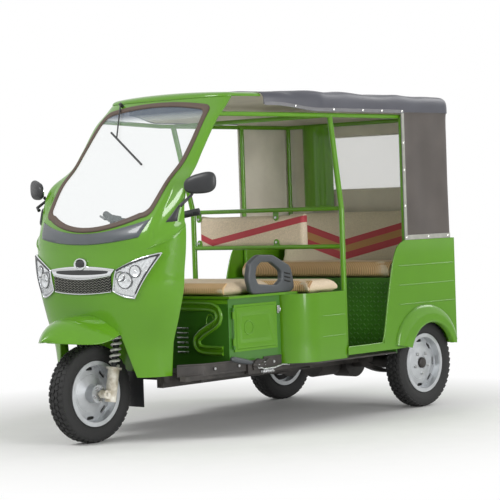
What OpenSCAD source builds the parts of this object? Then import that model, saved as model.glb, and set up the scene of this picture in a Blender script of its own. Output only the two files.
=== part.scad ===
// Three-wheeled electric passenger tricycle. Front is -Y, its left side is +X.
// The origin lies on the ground below the middle of the vehicle.

/* [Overall] */
// Length from the tip of the front mudguard to the back of the canopy
overall_l = 2636; // [2600:1:2680]
// Width of the passenger body
body_w = 1220; // [1180:1:1260]
// Height of the top of the floor
floor_z = 334; // [326:1:345]
// Height of the lower edge of the curtains
belt_z = 944; // [930:1:960]
// Height of the canopy's hem
hem_z = 1650; // [1640:1:1670]
// Height of the canopy over its hem, at its edges
canopy_h = 98; // [80:1:120]

/* [Wheels] */
// Radius of a tyre over its tread
tyre_r = 246.5; // [240:0.5:250]
// Width of a tyre
tyre_w = 105; // [96:1:112]
// Radius of the rim's flange
rim_r = 165; // [158:1:172]
// Distance of a rear tyre's outer face inside the body's side
tyre_inset = 40.5; // [34:0.5:48]
// Length behind the rear axle
rear_overhang = 261; // [255:1:275]
// Length ahead of the front axle
front_overhang = 318; // [300:1:330]
// Radius of the rear stub shafts
stub_r = 17; // [14:0.5:20]
// Radius of the front axle
front_axle_r = 9; // [7:0.5:11]
// Number of slots in a wheel disc
slot_count = 8; // [6:1:10]

/* [Steering] */
// Backward lean of the steering axis
rake = 11; // [9:1:13]
// Distance of the front axle ahead of the steering axis
fork_offset = 42; // [36:1:48]
// Distance between the fork legs
fork_w = 204; // [198:1:212]
// Radius of the steering stem
stem_r = 22; // [18:0.5:24]
// Radius of a fork slider
slider_r = 29; // [27:0.5:31]
// Outer radius of a fork spring
spring_r = 27.5; // [26:0.5:30]
// Radius of the spring wire
spring_wire_r = 5.5; // [4:0.25:6]
// Number of turns of a fork spring
spring_turns = 6; // [5:1:7]
// Radius of the handlebar tube
bar_r = 11; // [9:0.5:12.5]
// Radius of the grips
grip_r = 17; // [14:0.5:19]

/* [Cowl] */
// Half width of the cowl where it is widest
cowl_half = 514; // [500:1:524]
// Wall of the moulded panels
skin_t = 6; // [4:0.5:8]
// Squareness of the cowl in plan
plan_n = 2.5; // [2.3:0.05:2.8]
// Half width of the front wheel's arch at its top
arch_half = 217; // [210:1:225]
// Extra half width of the arch at its foot
arch_flare = 61; // [40:1:70]
// Height of the arch's top edge over the floor
arch_rise = 222; // [215:1:228]
// Width of the rubber seal round the windscreen
seal_w = 24; // [18:1:30]
// Thickness of the windscreen
glass_t = 5; // [4:0.5:6]
// Length of the roof hood, front to back
hood_l = 310; // [290:1:330]

/* [Seats] */
// Half width of the driver's seat box
driver_half = 480; // [470:1:485]
// Height of the seat boxes' tops
seat_top_z = 694; // [680:1:705]
// Thickness of the driver's seat plate
plate_t = 12; // [8:1:16]
// Thickness of the front cushions
cushion_t = 62; // [50:1:75]
// Thickness of the rear cushion
rear_cushion_t = 86; // [70:1:95]
// Sheet thickness of the seat boxes
sheet_t = 6; // [4:0.5:8]
// Width of the battery door
door_w = 330; // [300:1:340]
// Height of the battery door
door_h = 240; // [220:1:250]
// Radius of the battery door's hinge pin
hinge_r = 3; // [2:0.25:4]

/* [Frame] */
// Width of a chassis rail
rail_w = 40; // [34:1:50]
// Height of a chassis rail
rail_h = 64; // [56:1:68]
// Distance from the middle to a chassis rail
rail_x = 260; // [250:1:270]
// Radius of the canopy tubes
tube_r = 12; // [10:0.5:15]
// Thickness of the floor plate
floor_t = 8; // [5:0.5:10]
// Radius of the two holes for a number plate
plate_hole_r = 3.25; // [2.5:0.25:4]
// Distance between the two holes for a number plate
plate_hole_gap = 160; // [140:1:180]

/* [Hidden] */
$fn = 64;

// Colours of the finishes
green = [0.36, 0.58, 0.16];
dark_grey = [0.2, 0.2, 0.2];
black = [0.06, 0.06, 0.06];
silver = [0.75, 0.76, 0.78];
cream = [0.82, 0.8, 0.74];
beige = [0.83, 0.75, 0.62];
vinyl = [0.26, 0.25, 0.25];
clear = [0.8, 0.88, 0.9, 0.4];

// Gaps: pieces that only seat on each other, and shafts that turn
seat_gap = 0.3;
run_gap = 0.05;
// Pieces that lie on the curved front skin
skin_gap = 0.95;
// Height of the welds at the tubes' bends
weld = 0.4;

// Main places
half_l = overall_l / 2;
half_w = body_w / 2;
front_y = -half_l + front_overhang;
rear_y = half_l - rear_overhang;
track = body_w - 2 * tyre_inset - tyre_w;
driver_back = front_y + 920;
// Place in the passenger cabin, as a share of the way from the driver's box to the rear axle
function cabin(share) = driver_back + share * (rear_y - driver_back);
middle_back = cabin(0.35);
seat_front = cabin(0.7256);
rail_top = floor_z - floor_t;

// General functions
function mix(a, b, t) = a + (b - a) * t;
function clamp(v, lo, hi) = min(max(v, lo), hi);
function unit(v) = v / norm(v);
function steps(n) = [for (i = [0 : n]) i / n];
function arc(c, r, a0, a1, n = 8) = [for (t = steps(n)) c + r * [cos(mix(a0, a1, t)), sin(mix(a0, a1, t))]];

// Row of a table below a key, and a smooth value of one column at that key
function row_at(table, key, i = 0) =
  i >= len(table) - 2 || key < table[i + 1][0] ? i : row_at(table, key, i + 1);
function slope(table, c, i) =
  let (a = max(i - 1, 0), b = min(i + 1, len(table) - 1))
  (table[b][c] - table[a][c]) / (table[b][0] - table[a][0]);
function column_at(table, c, key) =
  let (
    i = row_at(table, key),
    d = table[i + 1][0] - table[i][0],
    t = clamp((key - table[i][0]) / d, 0, 1)
  )
  table[i][c] * (1 + 2 * t) * (1 - t) * (1 - t) + slope(table, c, i) * d * t * (1 - t) * (1 - t)
  + table[i + 1][c] * t * t * (3 - 2 * t) - slope(table, c, i + 1) * d * t * t * (1 - t);

// Closed panel between two grids of points. Rows run up and columns run right, seen from the first grid.
module grid_panel(outer, inner, open = function(i, j) false) {
  rows = len(outer);
  cols = len(outer[0]);
  n = rows * cols;
  solid = function(i, j) i >= 0 && j >= 0 && i < rows - 1 && j < cols - 1 && !open(i, j);
  at = function(i, j) i * cols + j;
  wall = function(p, q) [[p, q, q + n], [p, q + n, p + n]];
  faces = [
    for (i = [0 : rows - 2]) for (j = [0 : cols - 2]) if (solid(i, j))
      let (a = at(i, j), b = at(i, j + 1), c = at(i + 1, j + 1), d = at(i + 1, j))
      each concat(
        // Each cell is split towards the panel's nearest corner
        (2 * i < rows - 2) == (2 * j < cols - 2)
          ? [[a, d, c], [a, c, b], [a + n, c + n, d + n], [a + n, b + n, c + n]]
          : [[a, d, b], [d, c, b], [a + n, b + n, d + n], [d + n, b + n, c + n]],
        solid(i - 1, j) ? [] : wall(a, b),
        solid(i, j + 1) ? [] : wall(b, c),
        solid(i + 1, j) ? [] : wall(c, d),
        solid(i, j - 1) ? [] : wall(d, a)
      )
  ];
  polyhedron(points = concat([for (r = outer) each r], [for (r = inner) each r]), faces = faces);
}

// Straight round tube and square bar between two points
module between(p, q) {
  v = q - p;
  l = norm(v);
  translate(p) rotate([0, acos(v[2] / l), atan2(v[1], v[0])]) children();
}
module tube(p, q, r) between(p, q) cylinder(r = r, h = norm(q - p));
module pipe_run(points, r) {
  for (i = [0 : len(points) - 2]) tube(points[i], points[i + 1], r);
  // A ball at each bend, a little proud like a weld
  for (i = [1 : len(points) - 2]) translate(points[i]) sphere(r = r + weld);
}
module both_sides() {
  children();
  mirror([1, 0, 0]) children();
}
// Box from its lowest to its highest corner
module block(lo, hi) translate(lo) cube(hi - lo);
// Side view outline, drawn in Y and Z, given a width along X
module across(x0, x1) translate([x0, 0, 0]) rotate([90, 0, 90]) linear_extrude(x1 - x0) children();

// Front body: sections of the cowl, pillars and windscreen
// Columns: height over the floor, inset from cowl_half, nose ahead of the axle, door edge behind the axle
FRONT = [
  [-4, 141, -15, 210],
  [152, 126, 3, 210],
  [286, 82, 22, 210],
  [431, 40, 34, 210],
  [516, 32, 36, 210],
  [616, 18, 18, 210],
  [719, 7, -2, 205],
  [872, 0, -132, 195],
  [956, 18, -203, 235],
  [1044, 64, -278, 358],
  [1131, 73, -351, 426],
  [1277, 74, -475, 532],
  [1346, 82, -534, 612],
  [1372, 86, -556, 640],
  [1400, 90, -580, 670]
];
INSET = 1;
NOSE = 2;
EDGE = 3;
function front_half(z) = cowl_half - column_at(FRONT, INSET, z - floor_z);
function front_nose(z) = front_y - column_at(FRONT, NOSE, z - floor_z);
function front_edge(z) = front_y + column_at(FRONT, EDGE, z - floor_z);
function skin_y(x, z) =
  let (k = min(abs(x) / front_half(z), 1), e = front_edge(z))
  e - (e - front_nose(z)) * pow(max(1 - pow(k, plan_n), 0), 1 / plan_n);
function skin_normal(x, z) =
  let (
    h = 1,
    lim = 0.985 * front_half(z),
    c = clamp(x, -lim, lim),
    dx = (skin_y(c + h, z) - skin_y(c - h, z)) / (2 * h),
    dz = (skin_y(c, z + h) - skin_y(c, z - h)) / (2 * h)
  )
  unit([dx, -1, dz]);
function skin(x, z, out = 0) = [x, skin_y(x, z), z] + out * skin_normal(x, z);
// Panel over the front body's skin, from a grid of [x, z] places
module skin_panel(grid, from, to, open = function(i, j) false)
  grid_panel(
    [for (r = grid) [for (p = r) skin(p[0], p[1], to)]],
    [for (r = grid) [for (p = r) skin(p[0], p[1], from)]],
    open
  );

// Cowl
cowl_low = floor_z - 4;
cowl_high = floor_z + 676;
arch_top = floor_z + arch_rise;
arch_cols = 8;
edge_cols = 9;
function arch_at(z) = arch_half + arch_flare * clamp((arch_top - z) / (arch_top - cowl_low), 0, 1);
function cowl_row(z) =
  let (a = arch_at(z), w = front_half(z), side = [for (t = steps(edge_cols)) mix(a, w, sin(90 * t))])
  concat(
    [for (i = [edge_cols : -1 : 1]) -side[i]],
    [for (t = steps(arch_cols)) mix(-a, a, t)],
    [for (i = [1 : edge_cols]) side[i]]
  );
cowl_heights = concat(
  [for (t = steps(4)) mix(cowl_low, arch_top, t)],
  [for (i = [1 : 9]) mix(arch_top, cowl_high, i / 9)]
);
module front_cowl() color(green)
  skin_panel(
    [for (z = cowl_heights) [for (x = cowl_row(z)) [x, z]]], -skin_t, 0,
    function(i, j) i < 4 && j >= edge_cols && j < edge_cols + arch_cols
  );

// Windscreen: the seal's outer edge, given across by u and upwards by v
screen_low = floor_z + 719;
screen_high = floor_z + 1379;
screen_corner = 45;
// Columns: share of the height, half width
SCREEN = [[0, 372], [0.25, 392], [0.55, 398], [0.85, 388], [1, 374]];
screen_rise = 65;
screen_drop = 24;
function corner_cut(d) = let (r = screen_corner) d >= r ? 0 : r - sqrt(r * r - (r - d) * (r - d));
function screen_half(v, inset) =
  column_at(SCREEN, 1, v) - inset - corner_cut(min(v, 1 - v) * (screen_high - screen_low));
function screen_at(u, v, inset) = [
  u * screen_half(v, inset),
  mix(screen_low + screen_rise * u * u + inset, screen_high - screen_drop * u * u - inset, v)
];
screen_rows = [
  0, 0.012, 0.04, 0.08, 0.14, 0.21, 0.28, 0.36, 0.44, 0.52, 0.6, 0.68, 0.76, 0.84, 0.92, 0.96, 0.988, 1
];
screen_cols = [for (t = steps(14)) 2 * t - 1];
function screen_grid(inset) = [for (v = screen_rows) [for (u = screen_cols) screen_at(u, v, inset)]];

module windscreen_glass() color(clear)
  skin_panel(screen_grid(seal_w / 2 + 4 * seat_gap), -glass_t, 0);

// Closed ring round the windscreen's edge, as columns of points that go round it
screen_ring = concat(
  [for (u = screen_cols) [u, 0]],
  [for (i = [1 : len(screen_rows) - 2]) [1, screen_rows[i]]],
  [for (i = [len(screen_cols) - 1 : -1 : 0]) [screen_cols[i], 1]],
  [for (i = [len(screen_rows) - 2 : -1 : 1]) [-1, screen_rows[i]]]
);
seal_h = 8;
module windscreen_seal() color([0.3, 0.26, 0.22]) {
  n = len(screen_ring);
  // Profile round the seal: inset from its edge and height over the skin
  profile = [[0, skin_gap], [2, seal_h], [seal_w - 2, seal_h], [seal_w, skin_gap]];
  k = len(profile);
  points = [
    for (r = screen_ring) for (q = profile)
      let (p = screen_at(r[0], r[1], q[0])) skin(p[0], p[1], q[1])
  ];
  faces = [
    for (i = [0 : n - 1]) for (j = [0 : k - 1])
      let (
        m = (i + 1) % n,
        a = i * k + j,
        b = i * k + (j + 1) % k,
        c = m * k + (j + 1) % k,
        d = m * k + j
      )
      each [[a, b, c], [a, c, d]]
  ];
  polyhedron(points = points, faces = faces);
}

// Frame: a strip under the screen, a pillar on each side and a strip over it
frame_top = floor_z + 1392;
pillar_cols = 5;
frame_inset = seal_w / 2;
function frame_line(places) =
  let (
    p = places[len(places) - 1],
    w = front_half(p[1]),
    side = [for (i = [1 : pillar_cols]) [mix(p[0], w, sin(90 * i / pillar_cols)), p[1]]]
  )
  concat(
    [for (i = [pillar_cols - 1 : -1 : 0]) [-side[i][0], side[i][1]]],
    places,
    side
  );
// Rows from the cowl's top edge up to the screen's lower edge, and the row under the hood
frame_base = [0, 0.25, 0.5, 0.75];
function base_line(k) =
  [for (u = screen_cols) let (p = screen_at(u, 0, frame_inset)) [p[0], mix(cowl_high + seat_gap, p[1], k)]];
top_line = [for (u = screen_cols) [u * screen_half(1, frame_inset), frame_top]];
frame_grid = concat(
  [for (k = frame_base) frame_line(base_line(k))],
  [for (v = screen_rows) frame_line([for (u = screen_cols) screen_at(u, v, frame_inset)])],
  [frame_line(top_line)]
);
module windscreen_frame() color(green)
  skin_panel(
    frame_grid, -skin_t, 0,
    function(i, j)
      i >= len(frame_base) && i < len(frame_base) + len(screen_rows) - 1
      && j >= pillar_cols && j < pillar_cols + len(screen_cols) - 1
  );

// Grey band under the windscreen
band_h = 60;
band_t = 5;
module cowl_band() color([0.38, 0.4, 0.43]) {
  low = function(u) screen_low - band_h + 33 * u * u;
  high = function(u) screen_low - 6 + screen_rise * u * u;
  half = function(t) mix(350, 385, t);
  skin_panel(
    [for (t = steps(4)) [for (k = steps(24)) let (u = 2 * k - 1) [u * half(t), mix(low(u), high(u), t)]]],
    skin_gap, skin_gap + band_t
  );
}

// Headlamps: four corners, given as [x, height over the floor]
lamp_in_high = [237, 531];
lamp_out_high = [450, 612];
lamp_low = [326, 394];
lamp_in_low = [214, 430];
lamp_bulge = 8;
lamp_gap = 1.3;
housing_t = 5;
lens_t = 9;
function lamp_at(s, t) =
  let (
    p = mix(mix(lamp_in_low, lamp_in_high, t), mix(lamp_low, lamp_out_high, t), s),
    b = lamp_bulge * sin(180 * s) * (2 * t - 1)
  )
  [p[0], p[1] + b + floor_z];
lamp_grid = [for (t = steps(5)) [for (s = steps(8)) lamp_at(s, t)]];
module headlamp_housings() color(silver) both_sides()
  skin_panel(lamp_grid, lamp_gap, lamp_gap + housing_t);
module headlamp_lenses() color(clear) both_sides()
  skin_panel(lamp_grid, lamp_gap + housing_t + seat_gap, lamp_gap + housing_t + lens_t);

// Grille between the lamps, and the bright trim over it with a round blank badge
grille_half = 205;
grille_gap = 2;
grille_t = 4;
mesh_ribs = 6;
function grille_low(x) = floor_z + 428 - 12 * (1 - pow(x / grille_half, 2));
function grille_mid(x) = floor_z + 508 - 20 * (1 - pow(x / grille_half, 2));
function grille_high(x) = floor_z + 536 + 14 * (1 - pow(x / grille_half, 2));
grille_cols = [for (t = steps(16)) mix(-grille_half, grille_half, t)];
module grille_mesh() color(black) {
  // Zigzag rows stand on a thin backing that follows the cowl
  heights = [for (i = [0 : 2 * mesh_ribs]) i / (2 * mesh_ribs)];
  lift = function(i) i % 2 == 0 ? 1.5 : grille_t;
  grid_panel(
    [for (i = [0 : len(heights) - 1]) [for (x = grille_cols)
      skin(x, mix(grille_low(x), grille_mid(x) - grille_gap, heights[i]), lift(i) + skin_gap)]],
    [for (t = heights) [for (x = grille_cols)
      skin(x, mix(grille_low(x), grille_mid(x) - grille_gap, t), skin_gap)]]
  );
}
badge_r = 27;
trim_t = 7;
badge_z = floor_z + 562;
module grille_trim() color(silver) {
  skin_panel(
    [for (t = steps(3)) [for (x = grille_cols) [x * (1 + 0.12 * t), mix(grille_mid(x), grille_high(x), t)]]],
    skin_gap, trim_t
  );
  translate([0, skin_y(0, badge_z) - trim_t, badge_z]) rotate([90, 0, 0])
    cylinder(r = badge_r, h = 10);
}

// Front mudguard: a ridged shovel that stands out under the nose
guard_half = 222;
guard_ridge = floor_z + 307;
guard_tip = floor_z + 200;
guard_rim = floor_z + 216;
guard_sag = 38;
guard_belly = 0.45;
guard_t = 4;
guard_tip_half = 18;
function guard_point(a, s, down) =
  let (
    w = mix(guard_tip_half, guard_half - down, pow(1 - pow(s, 1.7), 0.7)),
    x = a * w,
    ridge = mix(guard_ridge, guard_tip, pow(s, 3.4)),
    ahead = max(0, s - guard_belly) / (1 - guard_belly),
    rim = mix(guard_rim - guard_sag * sin(90 * min(1, s / guard_belly)), guard_tip - 8, pow(ahead, 1.5)),
    z = mix(ridge, rim, pow(abs(a), 2.2)) - down,
    back = skin_y(min(abs(x), guard_half - 8), max(z, arch_top)) - seat_gap
  )
  [x, mix(back, -half_l + down + 26 * a * a, s), z];
guard_rows = steps(10);
guard_cols = [for (t = steps(14)) 2 * t - 1];
module front_mudguard() color(green)
  grid_panel(
    [for (i = [len(guard_rows) - 1 : -1 : 0]) [for (a = guard_cols) guard_point(a, guard_rows[i], 0)]],
    [for (i = [len(guard_rows) - 1 : -1 : 0]) [for (a = guard_cols) guard_point(a, guard_rows[i], guard_t)]]
  );

// Roof hood and canopy: crowned covers, round at chosen edges
function rise(d, r, p) = pow(1 - pow(1 - clamp(d / r, 0, 1), p), 1 / p);

hood_z = frame_top + seat_gap;
hood_h = 20;
hood_crown = 14;
hood_r = 50;
hood_back = front_y + 523 + hood_l;
hood_half_front = front_half(frame_top);
hood_lip = 3;
hood_half_back = 492;
hood_t = 5;
function hood_point(a, s, t) =
  let (
    front = skin_y(a * hood_half_front, frame_top) - hood_lip + t,
    y = mix(front, hood_back, s),
    w = mix(hood_half_front, hood_half_back, pow(clamp((y - front) / hood_l, 0, 1), 0.7)) - t,
    h = hood_h - t,
    f = rise((1 - abs(a)) * w, hood_r - t, 2) * rise(y - front, hood_r - t, 2)
  )
  [a * w, y, hood_z + h * f + hood_crown * f * (1 - a * a)];
hood_cols = [for (k = [-8 : 8]) sign(k) * (1 - pow(1 - abs(k) / 8, 1.7))];
hood_rows = [for (k = [0 : 10]) pow(k / 10, 1.8)];
module roof_hood() color(green)
  grid_panel(
    [for (s = hood_rows) [for (a = hood_cols) hood_point(a, s, 0)]],
    [for (s = hood_rows) [for (a = hood_cols) hood_point(a, s, hood_t)]]
  );

canopy_front = hood_back + seat_gap;
canopy_shoulder = 330;
canopy_crown = 20;
canopy_r = 70;
canopy_t = 5;
canopy_square = 4;
function canopy_half(y) =
  mix(hood_half_back, half_w, pow(clamp((y - canopy_front) / canopy_shoulder, 0, 1), 0.8));
function canopy_point(a, s, t) =
  let (
    y = mix(canopy_front, half_l - t, s),
    w = canopy_half(y) - t,
    f = rise((1 - abs(a)) * w, canopy_r, canopy_square) * rise(half_l - t - y, canopy_r, canopy_square)
  )
  [a * w, y, hem_z + (canopy_h - t) * f + canopy_crown * f * (1 - a * a)];
canopy_cols = [for (k = [-11 : 11]) sign(k) * (1 - pow(1 - abs(k) / 11, 2.4))];
canopy_rows = concat(
  [for (k = [0 : 5]) 0.24 * k / 5],
  [0.4, 0.6, 0.8],
  [for (k = [0 : 5]) 1 - 0.06 * pow(1 - k / 5, 2.2)]
);
module canopy_cover() color(vinyl)
  grid_panel(
    [for (s = canopy_rows) [for (a = canopy_cols) canopy_point(a, s, 0)]],
    [for (s = canopy_rows) [for (a = canopy_cols) canopy_point(a, s, canopy_t)]]
  );

// Curtains: one sheet down both sides and across the back, with a window
curtain_front = cabin(0.818);
curtain_back = half_l - 6;
curtain_t = 5;
curtain_half = half_w - 1;
curtain_corner = 60;
window_half = 300;
window_low = belt_z + 299;
window_high = belt_z + 605;
module curtain_plan(half, back, corner) {
  translate([-half, curtain_front]) square([2 * half, back - curtain_front - corner]);
  translate([-half + corner, curtain_front]) square([2 * (half - corner), back - curtain_front]);
  for (s = [-1, 1]) translate([s * (half - corner), back - corner]) circle(r = corner);
}
module curtains() color(vinyl)
  difference() {
    translate([0, 0, belt_z]) linear_extrude(hem_z - seat_gap - belt_z)
      difference() {
        curtain_plan(curtain_half, curtain_back, curtain_corner);
        translate([0, -1]) curtain_plan(curtain_half - curtain_t, curtain_back - curtain_t + 1,
          curtain_corner - curtain_t);
      }
    block(
      [-window_half, curtain_back - 3 * curtain_t, window_low],
      [window_half, curtain_back + 1, window_high]
    );
  }
module rear_window() color(clear)
  block(
    [-window_half + seat_gap, curtain_back - curtain_t + 1, window_low + seat_gap],
    [window_half - seat_gap, curtain_back - 1, window_high - seat_gap]
  );

// Rear body: side panels with an arch, tail panel and fender flares
panel_back = curtain_back - 10;
panel_low = floor_z + 9;
panel_high = belt_z - seat_gap;
panel_in = half_w - skin_t;
arch_c = [rear_y - 7, floor_z - 64];
arch_r = 205;
sill_front = middle_back;
sill_low = floor_z + 16;
sill_top = floor_z + 56;
module side_outline() polygon(concat(
  [[sill_front, sill_low], [sill_front, sill_top], [cabin(0.6253), sill_top]],
  [[cabin(0.678), floor_z + 342], [cabin(0.716), floor_z + 494], [cabin(0.746), floor_z + 566]],
  [[cabin(0.774), panel_high - 24], [curtain_front, panel_high], [panel_back, panel_high]],
  [[panel_back, panel_low], [arch_c[0] + arch_r, sill_low]]
));
groove_low = [254, 360, 467];
module rear_side_panels() color(green) both_sides()
  difference() {
    across(panel_in, half_w) difference() {
      side_outline();
      translate(arch_c) circle(r = arch_r);
    }
    // Pressed lines along the panel
    for (g = groove_low)
      block([half_w - 1.5, cabin(0.7564), floor_z + g], [half_w + 1, panel_back - 30, floor_z + g + 5]);
  }
module rear_panel() color(green)
  difference() {
    block([-half_w, panel_back + seat_gap, panel_low], [half_w, panel_back + skin_t, panel_high]);
    for (s = [-1, 1]) translate([s * plate_hole_gap / 2, panel_back, floor_z + 206]) rotate([-90, 0, 0])
      cylinder(r = plate_hole_r, h = 4 * skin_t, center = true);
  }
lamp_w = 70;
lamp_h = 150;
tail_t = 8;
module rear_lamps() color([0.7, 0.1, 0.08]) both_sides()
  block(
    [half_w - 20 - lamp_w, panel_back + skin_t + seat_gap, floor_z + 300],
    [half_w - 20, panel_back + skin_t + seat_gap + tail_t, floor_z + 300 + lamp_h]
  );
flare_c = [rear_y - 47, floor_z + 4];
flare_len = 283;
flare_h = 241;
flare_out = 26;
function flare_point(s, t, flat) =
  let (
    a = mix(8, 172, t),
    o = flare_c + [-flare_len * cos(a), flare_h * sin(a)],
    b = mix(22, 158, t),
    i = arc_c_lip(b),
    p = mix(o, i, s)
  )
  [half_w + seat_gap + (flat ? 0 : 2 + flare_out * sin(90 * min(1, 1.4 * s))), p[0], p[1]];
function arc_c_lip(b) = arch_c + (arch_r + 1) * [-cos(b), sin(b)];
module rear_fenders() color(green) both_sides()
  grid_panel(
    [for (s = [1, 0.75, 0.5, 0.3, 0.15, 0]) [for (t = steps(16)) flare_point(s, t, false)]],
    [for (s = [1, 0.75, 0.5, 0.3, 0.15, 0]) [for (t = steps(16)) flare_point(s, t, true)]]
  );

// Chassis: rails, cross members between them, side beams, and the steering head on its arms
rail_low = rail_top - rail_h;
rail_front = front_y + 235;
head_low = 470;
head_high = 640;
head_r = 34;
steer_c = [0, front_y + fork_offset * cos(rake), tyre_r - fork_offset * sin(rake)];
module on_steering() translate(steer_c) rotate([-rake, 0, 0]) children();
function steer_point(x, y, l) =
  steer_c + [x, y * cos(rake) + l * sin(rake), l * cos(rake) - y * sin(rake)];
arm_x = 290;
arm_r = 22;
beam_x = [430, 470];
beam_back = middle_back;
beam_low = rail_top - 24;
cross_w = 40;
cross_h = 40;
axle_tube_r = 38;
hub_r = 95;
motor_r = 78;
motor_l = 176;
motor_gap = 36;
plate_x = track / 2 - 76;
cross_y = [
  front_y + 360, front_y + 580, driver_back - 30, middle_back - 18,
  rear_y - hub_r - motor_l - motor_gap - cross_w, rear_y + 183
];
// Outriggers carry the side beams
outrigger_y = [cross_y[0], cross_y[2], cross_y[3] - 90];
hanger_y = 222;
hanger_w = 44;
notch_half = 120;
notch_gap = 8;
// The leaf springs stand outside the rails and clear of the brake plates
drum_gap = 16;
spring_out = min(rail_x + 90, plate_x - drum_gap);
jack_y = middle_back - 168;
jack_size = [60, 80, 8];
module rail_bar()
  block([rail_x - rail_w / 2, rail_front, rail_low], [rail_x + rail_w / 2, panel_back - 4, rail_top]);
module chassis_rails() color(dark_grey) both_sides() {
  // The rail is cut away over the axle
  difference() {
    rail_bar();
    block([0, rear_y - notch_half, 0], [half_w, rear_y + notch_half, tyre_r + axle_tube_r + notch_gap]);
  }
  // Spring hangers on the rails' outer faces
  for (s = [-1, 1])
    block(
      [rail_x, rear_y + s * hanger_y - hanger_w / 2, rail_low],
      [spring_out, rear_y + s * hanger_y + hanger_w / 2, rail_top]
    );
  // Pad for a jack
  block([rail_x - jack_size[0] / 2, jack_y - jack_size[1] / 2, rail_low - jack_size[2]],
    [rail_x + jack_size[0] / 2, jack_y + jack_size[1] / 2, rail_low + 1]);
}
module cross_members() color(dark_grey) {
  inner = rail_x - rail_w / 2;
  outer = rail_x + rail_w / 2;
  for (y = cross_y)
    block([-inner, y, rail_top - cross_h], [inner, y + cross_w, rail_top]);
  for (y = outrigger_y) both_sides()
    block([outer, y, rail_top - cross_h], [beam_x[0], y + cross_w, rail_top]);
}
module side_beams() color(dark_grey) both_sides()
  block([beam_x[0], front_y + 205, beam_low], [beam_x[1], beam_back, rail_top]);
module head_frame() color(dark_grey) {
  arm_top = steer_point(0, 0, 0.5 * (head_low + head_high));
  arm_foot = [arm_x, rail_front + 24, rail_low + rail_h / 2];
  difference() {
    union() {
      on_steering() translate([0, 0, head_low]) cylinder(r = head_r, h = head_high - head_low);
      tube([-arm_x, arm_top[1], arm_top[2]], [arm_x, arm_top[1], arm_top[2]], arm_r);
      both_sides() {
        translate([arm_x, arm_top[1], arm_top[2]]) sphere(r = arm_r + weld);
        tube([arm_x, arm_top[1], arm_top[2]], arm_foot, arm_r);
      }
    }
    on_steering() cylinder(r = stem_r + run_gap, h = 2 * head_high);
    both_sides() rail_bar();
  }
}

floor_front = front_y + 285;
floor_back = seat_front - 1;
wide_front = driver_back + 1;
wide_half = half_w - skin_t - seat_gap;
driver_front = front_y + 520;
module floor_pan() color(dark_grey)
  translate([0, 0, rail_top]) linear_extrude(floor_t)
    polygon([
      [-360, floor_front], [360, floor_front], [driver_half, driver_front - 60], [driver_half, wide_front],
      [wide_half, wide_front + 180], [wide_half, floor_back], [-wide_half, floor_back],
      [-wide_half, wide_front + 180], [-driver_half, wide_front], [-driver_half, driver_front - 60]
    ]);

// Leg shield and dashboard behind the front wheel
shield_low_y = front_y + 285;
shield_high_y = front_y + 332;
shield_t = 8;
shield_top = floor_z + 534;
module leg_shield() color(green)
  intersection() {
    across(-cowl_half, cowl_half) polygon([
      [shield_low_y, floor_z], [shield_low_y, floor_z + 300], [shield_high_y, floor_z + 350],
      [shield_high_y, shield_top], [shield_high_y + shield_t, shield_top],
      [shield_high_y + shield_t, floor_z + 346], [shield_low_y + shield_t, floor_z + 296],
      [shield_low_y + shield_t, floor_z]
    ]);
    translate([0, 0, floor_z]) rotate([90, 0, 0]) linear_extrude(4 * overall_l, center = true)
      polygon([[-295, 0], [295, 0], [310, 160], [330, 430], [330, shield_top - floor_z],
        [-330, shield_top - floor_z], [-330, 430], [-310, 160]]);
  }
dash_t = 8;
dash_front = front_y + 62;
dash_rise = 137;
boot_r = 40;
module dashboard() color(black)
  difference() {
    intersection() {
      across(-cowl_half, cowl_half) polygon([
        [shield_high_y + shield_t, shield_top + seat_gap], [dash_front, shield_top + dash_rise],
        [dash_front, shield_top + dash_rise + dash_t],
        [shield_high_y + shield_t, shield_top + seat_gap + dash_t + 6]
      ]);
      linear_extrude(4 * floor_z) polygon([
        [-355, shield_high_y + shield_t], [355, shield_high_y + shield_t], [470, front_y + 200],
        [385, dash_front], [-385, dash_front], [-470, front_y + 200]
      ]);
    }
    on_steering() cylinder(r = boot_r, h = 900);
  }

flap_t = 4;
flap_half = 95;
flap_low = floor_z - 181;
module mudflap() color(black)
  block([-flap_half, floor_front - seat_gap - flap_t, flap_low], [flap_half, floor_front - seat_gap, floor_z]);

// Mirrors on short stalks
mirror_c = [590, front_y + 228, floor_z + 945];
mirror_size = [80, 58, 24];
mirror_foot_z = floor_z + 838;
module mirrors() color(black) both_sides() {
  foot = skin(front_half(mirror_foot_z) * 0.985, mirror_foot_z, 9);
  hull() {
    for (x = [-1, 1]) for (z = [-1, 1])
      translate(mirror_c + [x * (mirror_size[0] - 26), 0, z * (mirror_size[1] - 26)]) rotate([90, 0, 0])
        cylinder(r = 26, h = mirror_size[2], center = true, $fn = 32);
    translate(mirror_c + [0, -mirror_size[2], 0]) rotate([90, 0, 0]) cylinder(r = 24, h = 4, $fn = 32);
  }
  tube(foot, mirror_c - [52, 0, mirror_size[1] - 16], 7);
  translate(foot) sphere(r = 8.5);
}

// Wiper that hangs from the strip over the windscreen
wiper_pivot = [-280, screen_high - 1];
wiper_elbow = [-150, floor_z + 1192];
wiper_ends = [[-220, floor_z + 1226], [147, floor_z + 1046]];
wiper_out = 14;
wiper_post = 24;
wiper_seat = 0.6;
module wiper() color(black) {
  tube(skin(wiper_pivot[0], wiper_pivot[1], wiper_seat), skin(wiper_pivot[0], wiper_pivot[1], wiper_post), 9);
  tube(skin(wiper_pivot[0], wiper_pivot[1], wiper_post - 5),
    skin(wiper_elbow[0], wiper_elbow[1], wiper_out), 4);
  tube(skin(wiper_ends[0][0], wiper_ends[0][1], wiper_out),
    skin(wiper_ends[1][0], wiper_ends[1][1], wiper_out), 5.5);
}

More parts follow.
